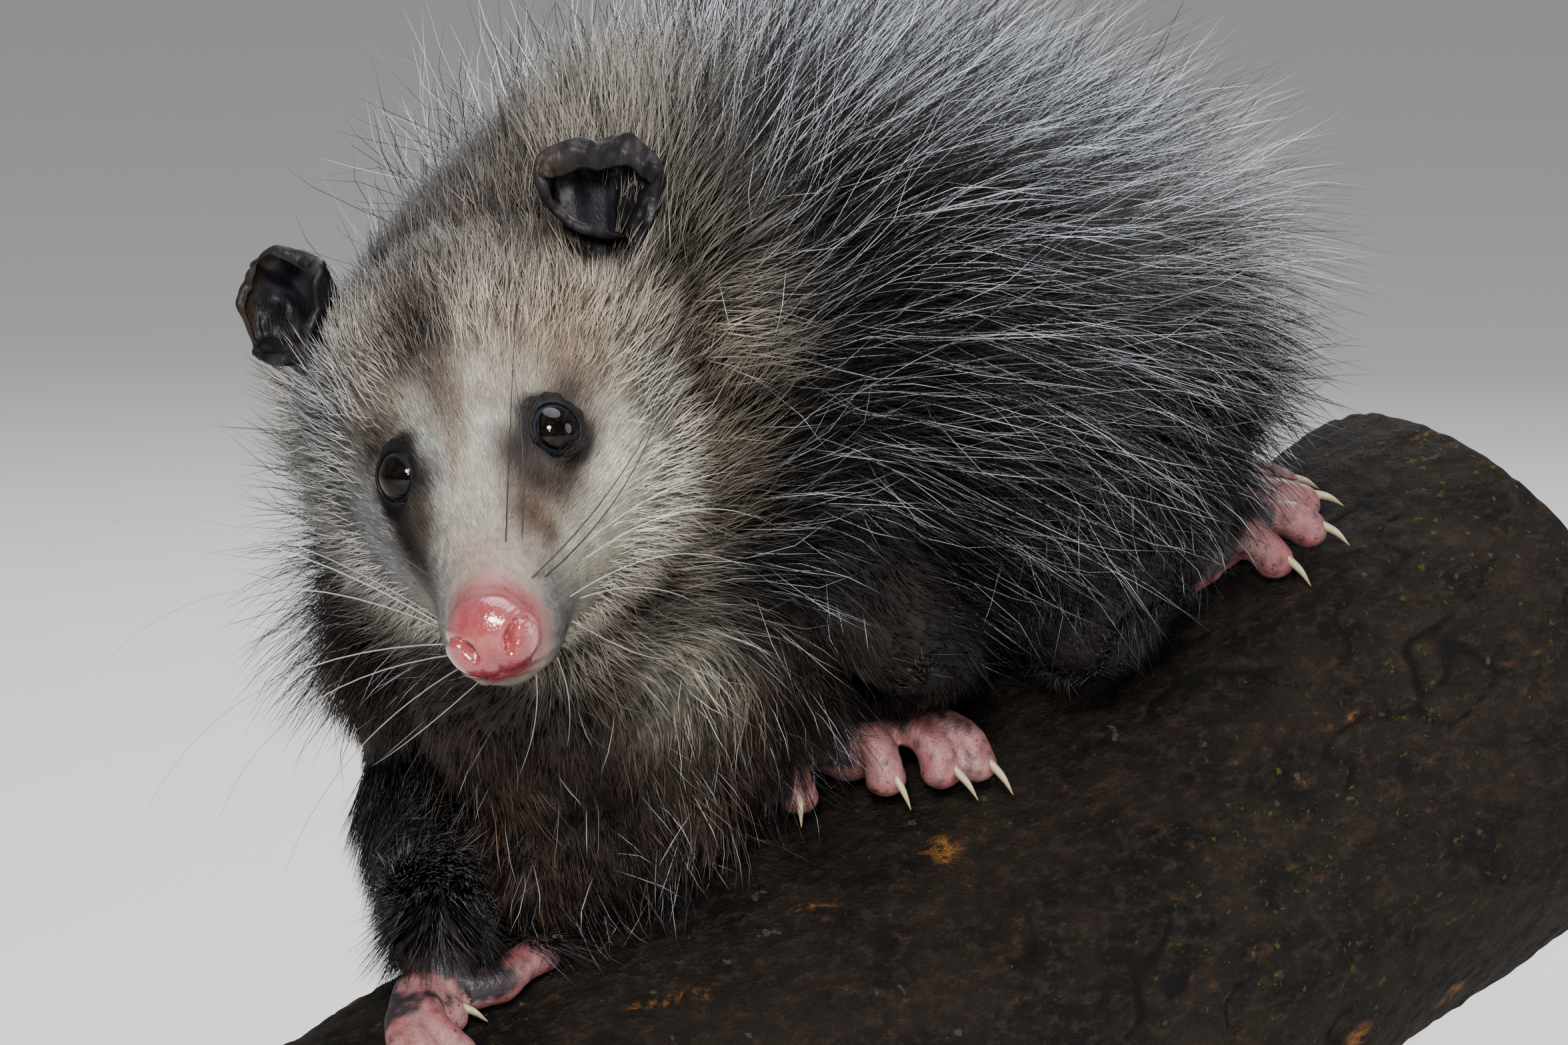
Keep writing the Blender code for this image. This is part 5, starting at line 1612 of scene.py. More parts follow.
@dataclass
class Coat:
    """The whole coat, grown from the finished skin.

    A tuft's line is root + length (t d0 + t^2 (d1 - d0) / 2), where d0 and d1 lean from the lie of the coat
    towards the skin's normal by the angles at root and tip. Tips then draw towards their clump's mean line.
    """

    skin: Skin
    ears: list
    seed: int = 11
    far_reach: float = 133.5
    limb_gap: float = 1.2
    eye_gap: float = 7.6
    under_length: float = 30.0
    guard_length: float = 64.0
    face: Hair = Hair(88000, 0.38, 1, (26, 12), 0.35, 12, (2.6, 0.30), 0.05, 1.0)
    ruff: Hair = Hair(24000, 0.37, 2, (40, 26), 0.4, 22, (6.0, 0.52), 0.09, 0.72)
    under: Hair = Hair(66000, 1.00, 1, (42, 18), 0.35, 17, (6.5, 0.50), 0.07, 1.0)
    guard: Hair = Hair(22000, 0.26, 3, (54, 31), 0.55, 30, (9.0, 0.30), 0.10, 0.75)
    short: Hair = Hair(20000, 0.62, 1, (26, 12), 0.4, 16, (3.2, 0.42), 0.05, 1.0)

    def __post_init__(self) -> None:
        """Starts the seeded chances."""
        self.rng = np.random.default_rng(self.seed)

    def take(self, mesh: Mesh) -> None:
        """Reads the skin as arrays, with each triangle's middle, area, region, bareness and share of head.

        Args:
            mesh: The skin's mesh.
        """
        self.points, self.normals, self.triangles, self.kinds = mesh_arrays(mesh)
        a, b, c = (self.points[self.triangles[:, k]] for k in range(3))
        self.middles = (a + b + c) / 3
        self.areas = 0.5 * np.linalg.norm(np.cross(b - a, c - a), axis=1)
        self.areas = self.areas * (limb_offset(self.middles)[0] > LIMB_RADIUS + 0.3)
        self.bare = self.skin.bare(self.middles, self.kinds)
        self.head = self.head_share(self.middles)
        self.trunk = np.isin(self.kinds, (Region.BODY.value, Region.HEAD.value)) * 1.0

    def roots(self, weight: Array, count: int) -> tuple[Array, Array, Array]:
        """Draws roots over the skin, each triangle by its area times its weight.

        Args:
            weight: One weight to a triangle.
            count: How many roots.

        Returns:
            The places, the normals there, and the share of head of each.
        """
        chance = self.areas * weight
        pick = self.rng.choice(len(chance), count, p=chance / chance.sum())
        s, t = self.rng.random((2, count))
        over = s + t > 1
        s, t = np.where(over, 1 - s, s), np.where(over, 1 - t, t)
        share = np.stack([1 - s - t, s, t], 1)[..., None]
        corners = self.triangles[pick]
        places = (self.points[corners] * share).sum(1)
        return places, unit((self.normals[corners] * share).sum(1)), self.head_share(places)

    @staticmethod
    def head_share(p: Array) -> Array:
        """How much each place belongs to the head: one on the face, less over nape, cheeks and throat.

        Args:
            p: Body places.

        Returns:
            A share from 0 to 1 to a place.
        """
        h = to_head(p)
        reach = np.hypot(h[:, 0] * np.where(h[:, 0] < 0, 1.12, 1.0), h[:, 2])
        return smoothstep(-126, -92, h[:, 1]) * smoothstep(65, 48, reach)

    @staticmethod
    def leg_share(p: Array) -> tuple[Array, Array, Array]:
        """The nearest upper leg to each place.

        Args:
            p: Body places.

        Returns:
            How much each place belongs to a leg, the direction down that leg, and the leg's number.
        """
        share, down, number = np.zeros(len(p)), np.zeros_like(p), np.full(len(p), -1)
        for k, leg in enumerate(LEGS):
            ankle = leg.foot["ankle"]
            low = curve_rows([*leg.lower, (*on_limb(ankle[:3]), ankle[3])], 4)
            rows = np.vstack([curve_rows(leg.upper, 4), low])
            best, way = np.full(len(p), np.inf), np.zeros_like(p)
            for a, b in zip(rows[:-1], rows[1:]):
                d = np.linalg.norm(p - a[:3], axis=1) / a[3]
                way = np.where((d < best)[:, None], unit(b[None, :3] - a[None, :3]), way)
                best = np.minimum(d, best)
            here = smoothstep(1.45, 1.12, best)
            down = np.where((here > share)[:, None], way, down)
            number = np.where(here > share, k, number)
            share = np.maximum(here, share)
        return share, down, number

    def lie(self, p: Array, n: Array, head: Array) -> Array:
        """The lie of the coat: out from the nose on head and neck, back on the trunk, down on breast and leg.

        Args:
            p: Places on the skin.
            n: The normals there.
            head: The share of head of each.

        Returns:
            One direction to a place, square to its normal.
        """
        h = to_head(p)
        from_nose = unit(p - on_head((0, 72, -28)))
        fore = smoothstep(0, -70, p[:, 0])[:, None]
        out = (unit(p - on_head((0, 20, -16))) + np.array((0.2, 0, -0.22))) * fore + (
            np.array((1.0, 0.04, -0.32)) + 0.2 * n) * (1 - fore)
        down = np.array((0.10, 0.0, -1.0)) + 0.25 * n * np.array((1, 1, 0))
        low = (smoothstep(78, 40, p[:, 2]) * smoothstep(-8, -44, p[:, 0]))[:, None]
        out = out * (1 - low) + down * low
        share, leg_down, _ = self.leg_share(p)
        out = out * (1 - share[:, None]) + leg_down * share[:, None]
        near = smoothstep(-160, -110, h[:, 1]) * smoothstep(86, 62, np.hypot(h[:, 0], h[:, 2]))
        near = np.maximum(head, near)[:, None]
        out = out * (1 - near) + from_nose * near
        sweep = np.stack([ripple(p, 40.0, 21 + k) + 0.7 * ripple(p, 17.0, 25 + k) for k in range(3)], 1)
        out = out + sweep * (0.06 + 0.13 * smoothstep(0, -50, h[:, 1]))[:, None]
        return unit(out - np.sum(out * n, 1, keepdims=True) * n)

    @staticmethod
    def face_depth(p: Array) -> Array:
        """The length of the head's fur in millimetres: stubble at the nose, fluff on crown and cheeks.

        Args:
            p: Body places.

        Returns:
            One length to a place.
        """
        h = to_head(p)
        cheek = smoothstep(30, 56, np.hypot(h[:, 0], h[:, 2])) * smoothstep(30, 0, h[:, 1])
        return np.interp(h[:, 1], (-120, -90, -60, -46, -34, -22, -8, 8, 24, 40, 52, 60),
                         (24, 19, 16, 14.5, 12.5, 10.5, 8, 6.6, 5.4, 4.2, 3, 1.6)) * (1 + 0.65 * cheek)

    def depth(self, p: Array) -> Array:
        """How long the hair is at each place, as a share of the back's: shorter on legs, breast and belly.

        Args:
            p: Body places.

        Returns:
            One share to a place.
        """
        low = smoothstep(64, 26, p[:, 2]) * smoothstep(30, -40, p[:, 0])
        belly = smoothstep(60, 34, p[:, 2]) * smoothstep(-40, 0, p[:, 0])
        throat = smoothstep(96, 66, np.linalg.norm(p - on_head((0, -40, -30)), axis=1))
        out = (1 - 0.52 * low) * (1 - 0.42 * belly) * (1 - 0.35 * throat)
        share, _, number = self.leg_share(p)
        sleeve = smoothstep(6, 34, p[:, 2]) * (number == LEG_NODES.index("foreleg_right"))
        on_leg = np.interp(p[:, 2], (-30, 20, 60), (0.085, 0.16, 0.30)) * (1 - sleeve) + 0.62 * sleeve
        haunch = number >= LEG_NODES.index("hindleg_left")
        on_leg = np.where(haunch, np.interp(p[:, 2], (22, 40, 62, 80), (0.12, 0.20, 0.45, 0.7)), on_leg)
        out = out * (1 - share) + on_leg * share
        rump = smoothstep(84, 112, p[:, 0]) * smoothstep(86, 60, p[:, 2])
        return out * (1 - 0.45 * rump) * (1 - 0.40 * smoothstep(104, 144, p[:, 0]))

    def grow(self, hair: Hair, roots: tuple, length: Array, shrink: Array | float = 1.0,
             loose: Array | float = 1.0) -> Tufts:
        """Grows one kind of hair from its roots.

        Args:
            hair: How it grows.
            roots: Places, normals and shares of head.
            length: The length of each tuft, in millimetres.
            shrink: A factor on each tuft's width.
            loose: A factor on each tuft's lift and sway.

        Returns:
            The tufts, marked with the coat's own colours.
        """
        p, n, head = roots
        count = len(p)
        lie = self.lie(p, n, head)
        across = np.cross(n, lie)
        turn_by = np.radians(self.rng.normal(0, hair.sway, count) * loose)[:, None]
        lie = np.cos(turn_by) * lie + np.sin(turn_by) * across
        lift = self.rng.uniform(1 - hair.vary, 1 + hair.vary, count) * loose
        lift = lift[:, None] * np.radians(np.array(hair.lift))
        d0 = np.cos(lift[:, :1]) * lie + np.sin(lift[:, :1]) * n
        d1 = np.cos(lift[:, 1:]) * lie + np.sin(lift[:, 1:]) * n
        t = np.linspace(0, 1, hair.rings + 1)[None, :, None]
        size = length[:, None, None]
        lines = (p - 0.6 * n)[:, None] + size * (t * d0[:, None] + 0.5 * t**2 * (d1 - d0)[:, None])
        wave = np.sin(math.pi * t * self.rng.uniform(0.5, 1.2, (count, 1, 1)))
        lines = lines + self.rng.normal(0, hair.curl, (count, 1, 1)) * wave * size * np.cross(n, lie)[:, None]
        lines = self.cleared(self.clumped(lines, p, hair))
        base = hair.width * self.rng.uniform(0.75, 1.2, count) * shrink
        profile = np.interp(t[0, :-1, 0], (0, 0.4, 1), (0.8, 1.0, hair.taper))
        shown = 0.5 * (lines[:, 0] + lines[:, -1])
        colours = np.repeat(self.skin.markings.coat(shown, head)[:, None], hair.rings + 1, axis=1)
        half = base[:, None] * profile * 0.5
        return Tufts(lines, half, colours, self.rng.random(count), self.unwrap(p, head))

    def clumped(self, lines: Array, p: Array, hair: Hair) -> Array:
        """Draws each line towards the mean line of its clump, by share t^1.5.

        Args:
            lines: The tufts' lines.
            p: Their roots.
            hair: How they grow. Clumps are cubes of its clump size, with wavering walls.

        Returns:
            The drawn lines.
        """
        size, share = hair.clump
        waver = np.stack([ripple(p, size * 3.1, 31 + k) for k in range(3)], 1)
        cell = np.floor((p + size * 0.5 * waver) / size)
        _, group = np.unique(cell.astype(int), axis=0, return_inverse=True)
        group = group.ravel()
        members = np.bincount(group)
        flat = lines.reshape(len(lines), -1)
        mean = np.stack([np.bincount(group, flat[:, k]) for k in range(flat.shape[1])], 1) / members[:, None]
        t = np.linspace(0, 1, lines.shape[1])[None, :, None]
        pull = share * t**1.5 * self.rng.uniform(0.5, 1.3, (len(lines), 1, 1))
        return lines + (mean[group].reshape(lines.shape) - lines) * pull

    def cleared(self, lines: Array) -> Array:
        """Pushes lines out of the limb, and aside from both eyes' openings.

        Args:
            lines: The tufts' lines.

        Returns:
            The moved lines.
        """
        distance, away = limb_offset(lines)
        short = np.maximum(LIMB_RADIUS + self.limb_gap - distance, 0)
        lines = lines + away * short[..., None]
        for side in (1.0, -1.0):
            centre, look = self.skin.head.eye(side)
            centre, look = on_head(centre), look @ HEAD_AXES
            v = lines - centre
            depth = v @ look
            out = v - depth[..., None] * look
            reach = np.linalg.norm(out, axis=-1)
            push = np.where((depth > 0) & (reach < self.eye_gap), self.eye_gap - reach, 0)
            lines = lines + out / np.maximum(reach, 1e-6)[..., None] * push[..., None]
        return lines

    def allowed(self, tufts: Tufts) -> Array:
        """Picks tufts with roots clear of limb and eyes, and lines short of the model's far side but not in an
        ear.

        Args:
            tufts: The tufts.

        Returns:
            True for each tuft that may stay.
        """
        root = tufts.lines[:, 0]
        distance, _ = limb_offset(root)
        good = (distance > LIMB_RADIUS + 0.5) & (tufts.lines[:, :, 1].max(1) < self.far_reach)
        h = to_head(root)
        for side in (1.0, -1.0):
            good &= np.linalg.norm(h - self.skin.head.eye(side)[0], axis=1) > 8.0
        for ear in self.ears:
            for t in np.linspace(0, tufts.lines.shape[1] - 1.001, 7):
                a, b = tufts.lines[:, int(t)], tufts.lines[:, int(t) + 1]
                good &= ~ear.holds(a + (b - a) * (t % 1.0))
        return good

    @staticmethod
    def unwrap(p: Array, head: Array) -> Array:
        """The unwrap of the skin's own shape: angle round the trunk's or head's axis, and place along it.

        Args:
            p: Body places.
            head: The share of head of each.

        Returns:
            One pair (u, v) to a place.
        """
        h = to_head(p)
        body = np.stack([0.5 + np.arctan2(p[:, 1] - 10, p[:, 2] - 60) / (2 * math.pi),
                         0.02 + 0.60 * np.clip((p[:, 0] + 180) / 345, 0, 1)], 1)
        face = np.stack([0.5 + np.arctan2(h[:, 0], h[:, 2] + 16) / (2 * math.pi),
                         0.66 + 0.33 * np.clip((h[:, 1] + 65) / 135, 0, 1)], 1)
        return np.clip(np.where(head[:, None] > 0.5, face, body), 0.0, 1.0)

    def face_tufts(self) -> Tufts:
        """The fine close fur of the head, shortest at the nose.

        Returns:
            The tufts that are allowed.
        """
        f = to_head(self.middles)[:, 1]
        weight = self.trunk * np.clip(1.15 - self.bare, 0, 1) ** 1.5 * (self.bare < 0.9) * self.head
        weight = weight * np.interp(f, (-120, -60, -30, 0, 30, 55), (0.4, 0.6, 0.95, 1.4, 3.2, 6.0))
        roots = self.roots(weight, self.face.count)
        f = to_head(roots[0])[:, 1]
        length = 0.85 * self.face_depth(roots[0]) * self.rng.uniform(0.65, 1.25, self.face.count)
        stout = np.interp(f, (-90, -40, 0, 40, 56), (1.7, 1.4, 1.1, 0.75, 0.5))
        return self.streaked(self.grow(self.face, roots, length, stout), f, 0.08)

    def ruff_tufts(self) -> Tufts:
        """The loose fluff of crown, nape and cheeks, standing away from the head.

        Returns:
            The tufts that are allowed.
        """
        h = to_head(self.middles)
        reach = np.hypot(h[:, 0], h[:, 2])
        cheek = smoothstep(32, 44, reach) * smoothstep(20, -10, h[:, 1])
        weight = np.maximum(smoothstep(-6, -36, h[:, 1]), cheek)
        roots = self.roots(self.trunk * self.head * weight * (self.bare < 0.3), self.ruff.count)
        h = to_head(roots[0])
        side = smoothstep(30, 46, np.hypot(h[:, 0], h[:, 2])) * smoothstep(24, -4, h[:, 1])
        length = 1.12 * self.face_depth(roots[0]) * self.rng.uniform(0.7, 1.3, self.ruff.count)
        stout = np.interp(h[:, 1], (-90, -40, 0), (1.2, 1.05, 0.85))
        return self.streaked(self.grow(self.ruff, roots, length, stout, 1 + 0.55 * side), h[:, 1], 0.22)

    def streaked(self, tufts: Tufts, f: Array, dark: float) -> Tufts:
        """Darkens roots and lightens tips towards the crown, and makes a share of the tufts there dark.

        Args:
            tufts: The tufts.
            f: How far forward each root lies on the head.
            dark: The share of dark tufts.

        Returns:
            The tufts that are allowed.
        """
        streak = smoothstep(-10, -48, f)[:, None] * self.rng.uniform(0.2, 1.0, (len(f), 1))
        tufts.colours[:, 0] *= 1 - 0.55 * streak
        tufts.colours[:, -1] = tufts.colours[:, -1] * (1 + 0.32 * streak) + 0.015 * streak
        chosen = self.rng.random(len(f)) < dark * (0.25 + 0.75 * smoothstep(-8, -40, f))
        tufts.colours[chosen] = tufts.colours[chosen] * 0.24 + 0.004
        return tufts.kept(self.allowed(tufts))

    def under_tufts(self) -> Tufts:
        """The dense dark underfur of neck, trunk and thighs.

        Returns:
            The tufts that are allowed.
        """
        roots = self.roots(self.trunk * (1 - self.head) ** 0.7, self.under.count)
        share = self.depth(roots[0])
        length = np.maximum(self.under_length * share**0.8, 5) * self.rng.uniform(0.7, 1.2, self.under.count)
        tufts = self.grow(self.under, roots, length, np.clip(0.40 + 0.70 * share, 0.45, 1.0))
        lighter = self.rng.random(len(length)) < 0.10 + 0.25 * (share < 0.6)
        tufts.colours[lighter, -1] = tufts.colours[lighter, -1] * 2.2 + 0.008
        return tufts.kept(self.allowed(tufts))

    def guard_tufts(self) -> Tufts:
        """The long guard hairs: a quarter blue-white past the root, the rest like the fur or black.

        Returns:
            The tufts that are allowed.
        """
        share = self.depth(self.middles)
        roots = self.roots(self.trunk * (1 - self.head) * smoothstep(0.15, 0.7, share), self.guard.count)
        share, x, z = self.depth(roots[0]), roots[0][:, 0], roots[0][:, 2]
        length = self.guard_length * np.maximum(share, 0.35) * self.rng.uniform(0.5, 1.15, self.guard.count)
        tufts = self.grow(self.guard, roots, length)
        breast = smoothstep(64, 24, z) * smoothstep(20, -30, x)
        high = smoothstep(70, 140, z)
        white = self.rng.random(len(x)) < 0.24 - 0.12 * breast + 0.12 * high
        marks = self.skin.markings
        pale = np.array(marks.guard_white) * self.rng.uniform(0.35, 1.1, (len(x), 1))
        pale = pale * (0.66 + 0.34 * high)[:, None]
        own = marks.coat(roots[0], roots[2])
        tip = np.where(white[:, None], pale, np.where(own[:, :1] > 0.075, own * 1.15, marks.guard_black))
        fade = np.interp(np.linspace(0, 1, self.guard.rings + 1), (0, 0.2, 0.36, 1), (0, 0.3, 1, 1))[:, None]
        tufts.colours = tufts.colours[:, :1] * 0.7 * (1 - fade) + tip[:, None] * fade
        return tufts.kept(self.allowed(tufts))

    def short_tufts(self) -> Tufts:
        """The short sleek fur of the lower legs, thin over wrists and ankles, and of the tail's root.

        Returns:
            The tufts that are allowed.
        """
        weight = (1 - self.trunk) * np.clip(1.15 - self.bare, 0.0, 1) * (self.bare < 0.98)
        roots = self.roots(weight, self.short.count)
        kinds = np.full(len(roots[0]), -1)
        for leg in LEGS:
            kinds[np.linalg.norm(roots[0] - on_limb(leg.foot["sole"][:3]), axis=1) < 60] = leg.region.value
        here = self.skin.bare(roots[0], kinds)
        length = np.interp(here, (0, 0.5, 1), (13, 6.5, 3)) * self.rng.uniform(0.6, 1.25, self.short.count)
        length *= 1 + 0.6 * (1 - here) * smoothstep(-60, -76, roots[0][:, 0])
        stout = np.interp(here, (0, 1), (1.0, 0.55))
        tufts = self.grow(self.short, (*roots[:2], roots[2] * 0), length, stout)
        tufts.colours[:] = np.array(self.skin.markings.leg)
        lighter = self.rng.random(len(length)) < 0.10
        tufts.colours[lighter, 1:] = np.array(self.skin.markings.leg_grey)
        return tufts.kept(self.allowed(tufts))

    def build(self, face_finish: Material, coat_finish: Material) -> None:
        """Grows every kind of hair and cuts the coat into pieces of under 200,000 triangles.

        Args:
            face_finish: The finish of the pale fur of the head.
            coat_finish: The finish of the rest.
        """
        pieces = []
        for kind, tufts in (("fur_face", self.face_tufts()), ("fur_ruff", self.ruff_tufts())):
            left = to_head(tufts.lines[:, 0])[:, 0] > 0
            pieces += [(f"{kind}_{side}", "face_fur", tufts.kept(mask))
                       for side, mask in (("left", left), ("right", ~left))]
        for kind, tufts in (("underfur", self.under_tufts()), ("coat", self.guard_tufts())):
            root = tufts.lines[:, 0]
            near = root[:, 1] - 0.1 * root[:, 0] < 6
            front, middle = root[:, 0] < -58, root[:, 0] < 34
            for area, mask in (("neck", front), ("shoulder", ~front & middle), ("rump", ~middle)):
                pieces += [(f"{kind}_{area}_left", "coat", tufts.kept(mask & near)),
                           (f"{kind}_{area}_right", "coat", tufts.kept(mask & ~near))]
        pieces.append(("fur_legs", "leg_fur", self.short_tufts()))
        for name, slot, tufts in pieces:
            finished(tufts.piece(name), slot, face_finish if slot == "face_fur" else coat_finish)


# ---------------------------------------------------------------- ears, eyes, claws, whiskers

@dataclass
class Ear:
    """One ear: a crumpled leather cup.

    Its surface runs from the root in the head up the inner wall to the rim, over it, and, by the share flap,
    down in front as a fold. The point of a level (scale, depth, fold) is centre + scale (x across + y up) +
    depth out, where (x, y) runs round the rim's outline. Worn, blush and wet are spots (x, y, size, share);
    the wet spot is painted pinkish white, a painted highlight on wet skin.
    """

    name: str
    centre: tuple
    root: tuple
    outline: list
    tilt: float
    flap: float
    worn: list
    blush: tuple
    wet: tuple
    levels: list = field(default_factory=lambda: [
        (0.22, -15, 0), (0.42, -11.5, 0), (0.66, -7.6, 0), (0.86, -3.4, 0), (0.97, -0.9, 0),
        (1.02, 0.35, 0.08), (1, 1.1, 0.35), (0.95, 1.3, 0.75), (0.9, 1, 1)])

    def axes(self) -> Array:
        """Across, up and outward directions: the main view's own, turned about up by the tilt.

        Returns:
            A matrix of three rows.
        """
        az, el = math.radians(Studio.azimuth), math.radians(Studio.elevation)
        out = np.array((math.sin(az) * math.cos(el), -math.cos(az) * math.cos(el), math.sin(el)))
        across = np.array((math.cos(az), math.sin(az), 0.0))
        c, s = math.cos(math.radians(self.tilt)), math.sin(math.radians(self.tilt))
        return np.array((across * c + out * s, np.cross(out, across), out * c - across * s))

    def holds(self, p: Array) -> Array:
        """Whether places lie in the cup: inside a slightly smaller ellipse, and in front of the wall.

        Args:
            p: Body places.

        Returns:
            True for each place in the cup.
        """
        v = (p - on_head(self.centre)) @ self.axes().T
        size = np.abs(np.array(self.outline)).max(0) * 0.88
        flat = np.sum((v[:, :2] / size) ** 2, axis=1)
        return (flat < 1.1) & (v[:, 2] > -9 * (1 - flat)) & (v[:, 2] < 24)

    def build(self, material: Material) -> Piece:
        """Builds the cup with its thickness, and marks its rim and its blush.

        Args:
            material: The leather.

        Returns:
            The ear's object.
        """
        rim = ring_rows(self.outline, 8)
        levels = curve_rows(self.levels, 5)
        axes = self.axes()
        high = smoothstep(2.0, 8.5, rim[:, 1])
        x = levels[:, 0:1] * rim[None, :, 0]
        fold = levels[:, 2:3] * high[None] * self.flap
        y = levels[:, 0:1] * rim[None, :, 1] - fold * 5.2
        z = levels[:, 1:2] + fold * 1.6 + 0 * rim[None, :, 0]
        p = np.stack([x, y, z], -1)
        flat = p.reshape(-1, 3)
        crumple = (1.25 * ripple(flat, 11.5, 51) + 0.36 * ripple(flat, 4.4, 52)).reshape(x.shape)
        p[..., 2] += crumple * smoothstep(0.3, 0.8, levels[:, 0:1])
        p[..., 1] += 0.5 * crumple * levels[:, 2:3]
        centre, root = on_head(self.centre), on_head(self.root)
        pull = smoothstep(0.62, 0.18, levels[:, 0])[:, None, None]
        base = centre + levels[0, 1] * axes[2]
        points = centre + p @ axes + (root - base) * pull
        inner = points.reshape(-1, 3)
        around = np.roll(points, -1, axis=1) - np.roll(points, 1, axis=1)
        normal = unit(np.cross(around, np.gradient(points, axis=0)))
        run = levels[:, 0] + levels[:, 2]
        thick = np.interp(run, (0.2, 0.9, 1.1, 1.9), (1.4, 0.8, 0.6, 0.5))[:, None, None]
        sign = math.copysign(1.0, np.sum(normal[10] * (points[10] - points[10].mean(0))))
        outer = (points + normal * sign * thick)[::-1].reshape(-1, 3)
        rows, sides = 2 * len(levels), len(rim)
        surface = Surface(np.vstack([inner, outer]), grid_faces(rows, sides))
        flat = p.reshape(-1, 3)[:, :2]
        spots = [np.max([share * hill(flat, (sx, sy), (size, size)) for sx, sy, size, share in given], axis=0)
                 for given in (self.worn, [self.blush], [self.wet])]
        edge = np.repeat(smoothstep(0.84, 1.0, run), sides) * np.maximum(spots[0], 0.14)
        mirror = np.arange(len(edge)).reshape(len(levels), sides)[::-1].ravel()
        rim_mask, blush, wet = (np.concatenate([mask, mask[mirror] * behind])
                                for mask, behind in ((edge, 0.7), (spots[1], 0.0), (spots[2], 0.0)))
        cup = marked(surface, self.name + "_leather", Rim=rim_mask, Blush=blush, Wet=wet)
        return finished(cup, "ear_skin", material, self.name)


EARS = [
    Ear("ear_left", (37.0, -54.0, 36.0), (30.0, -46.0, 12.0),
        [(-14.4, 4.2), (-11.9, 8.6), (-4.5, 11.4), (-0.1, 10.4), (4.8, 12.4), (8.8, 12.9), (11.2, 11.0),
         (14.2, 7.4), (14.6, 2.8), (13.4, -4.8), (11.6, -10.4), (10.0, -15.2), (7.9, -10.8), (1.4, -10.6),
         (-4.5, -9.1), (-9.4, -4.9), (-12.9, -0.8)], -16.0, 1.0,
        [(-12.5, 6.5, 4.2, 1.0), (8.8, 11.8, 4.0, 0.5), (-4.5, 10.6, 5.0, 0.35)], (-2.0, -7.0, 4.2, 1.0),
        (-5.8, -6.2, 1.5, 1.0)),
    Ear("ear_right", (-41.0, -52.4, 32.0), (-31.0, -46.0, 12.0),
        [(-0.4, 13.2), (-5.4, 10.4), (-10.3, 7.9), (-12.2, 3.2), (-11.9, -2.3), (-10.6, -8.0), (-7.2, -11.4),
         (0.4, -13.2), (7.2, -11.4), (10.6, -5.7), (11.8, 1.1), (12.6, 5.5), (10.8, 9.4), (6.0, 12.2)],
        42.0, 0.25, [(-9.0, 8.5, 5.5, 1.0), (-12.0, 0.0, 6.0, 0.8), (-1.0, 13.0, 5.0, 0.6)],
        (3.0, -9.0, 4.0, 0.5), (0.0, -40.0, 1.0, 0.0)),
]


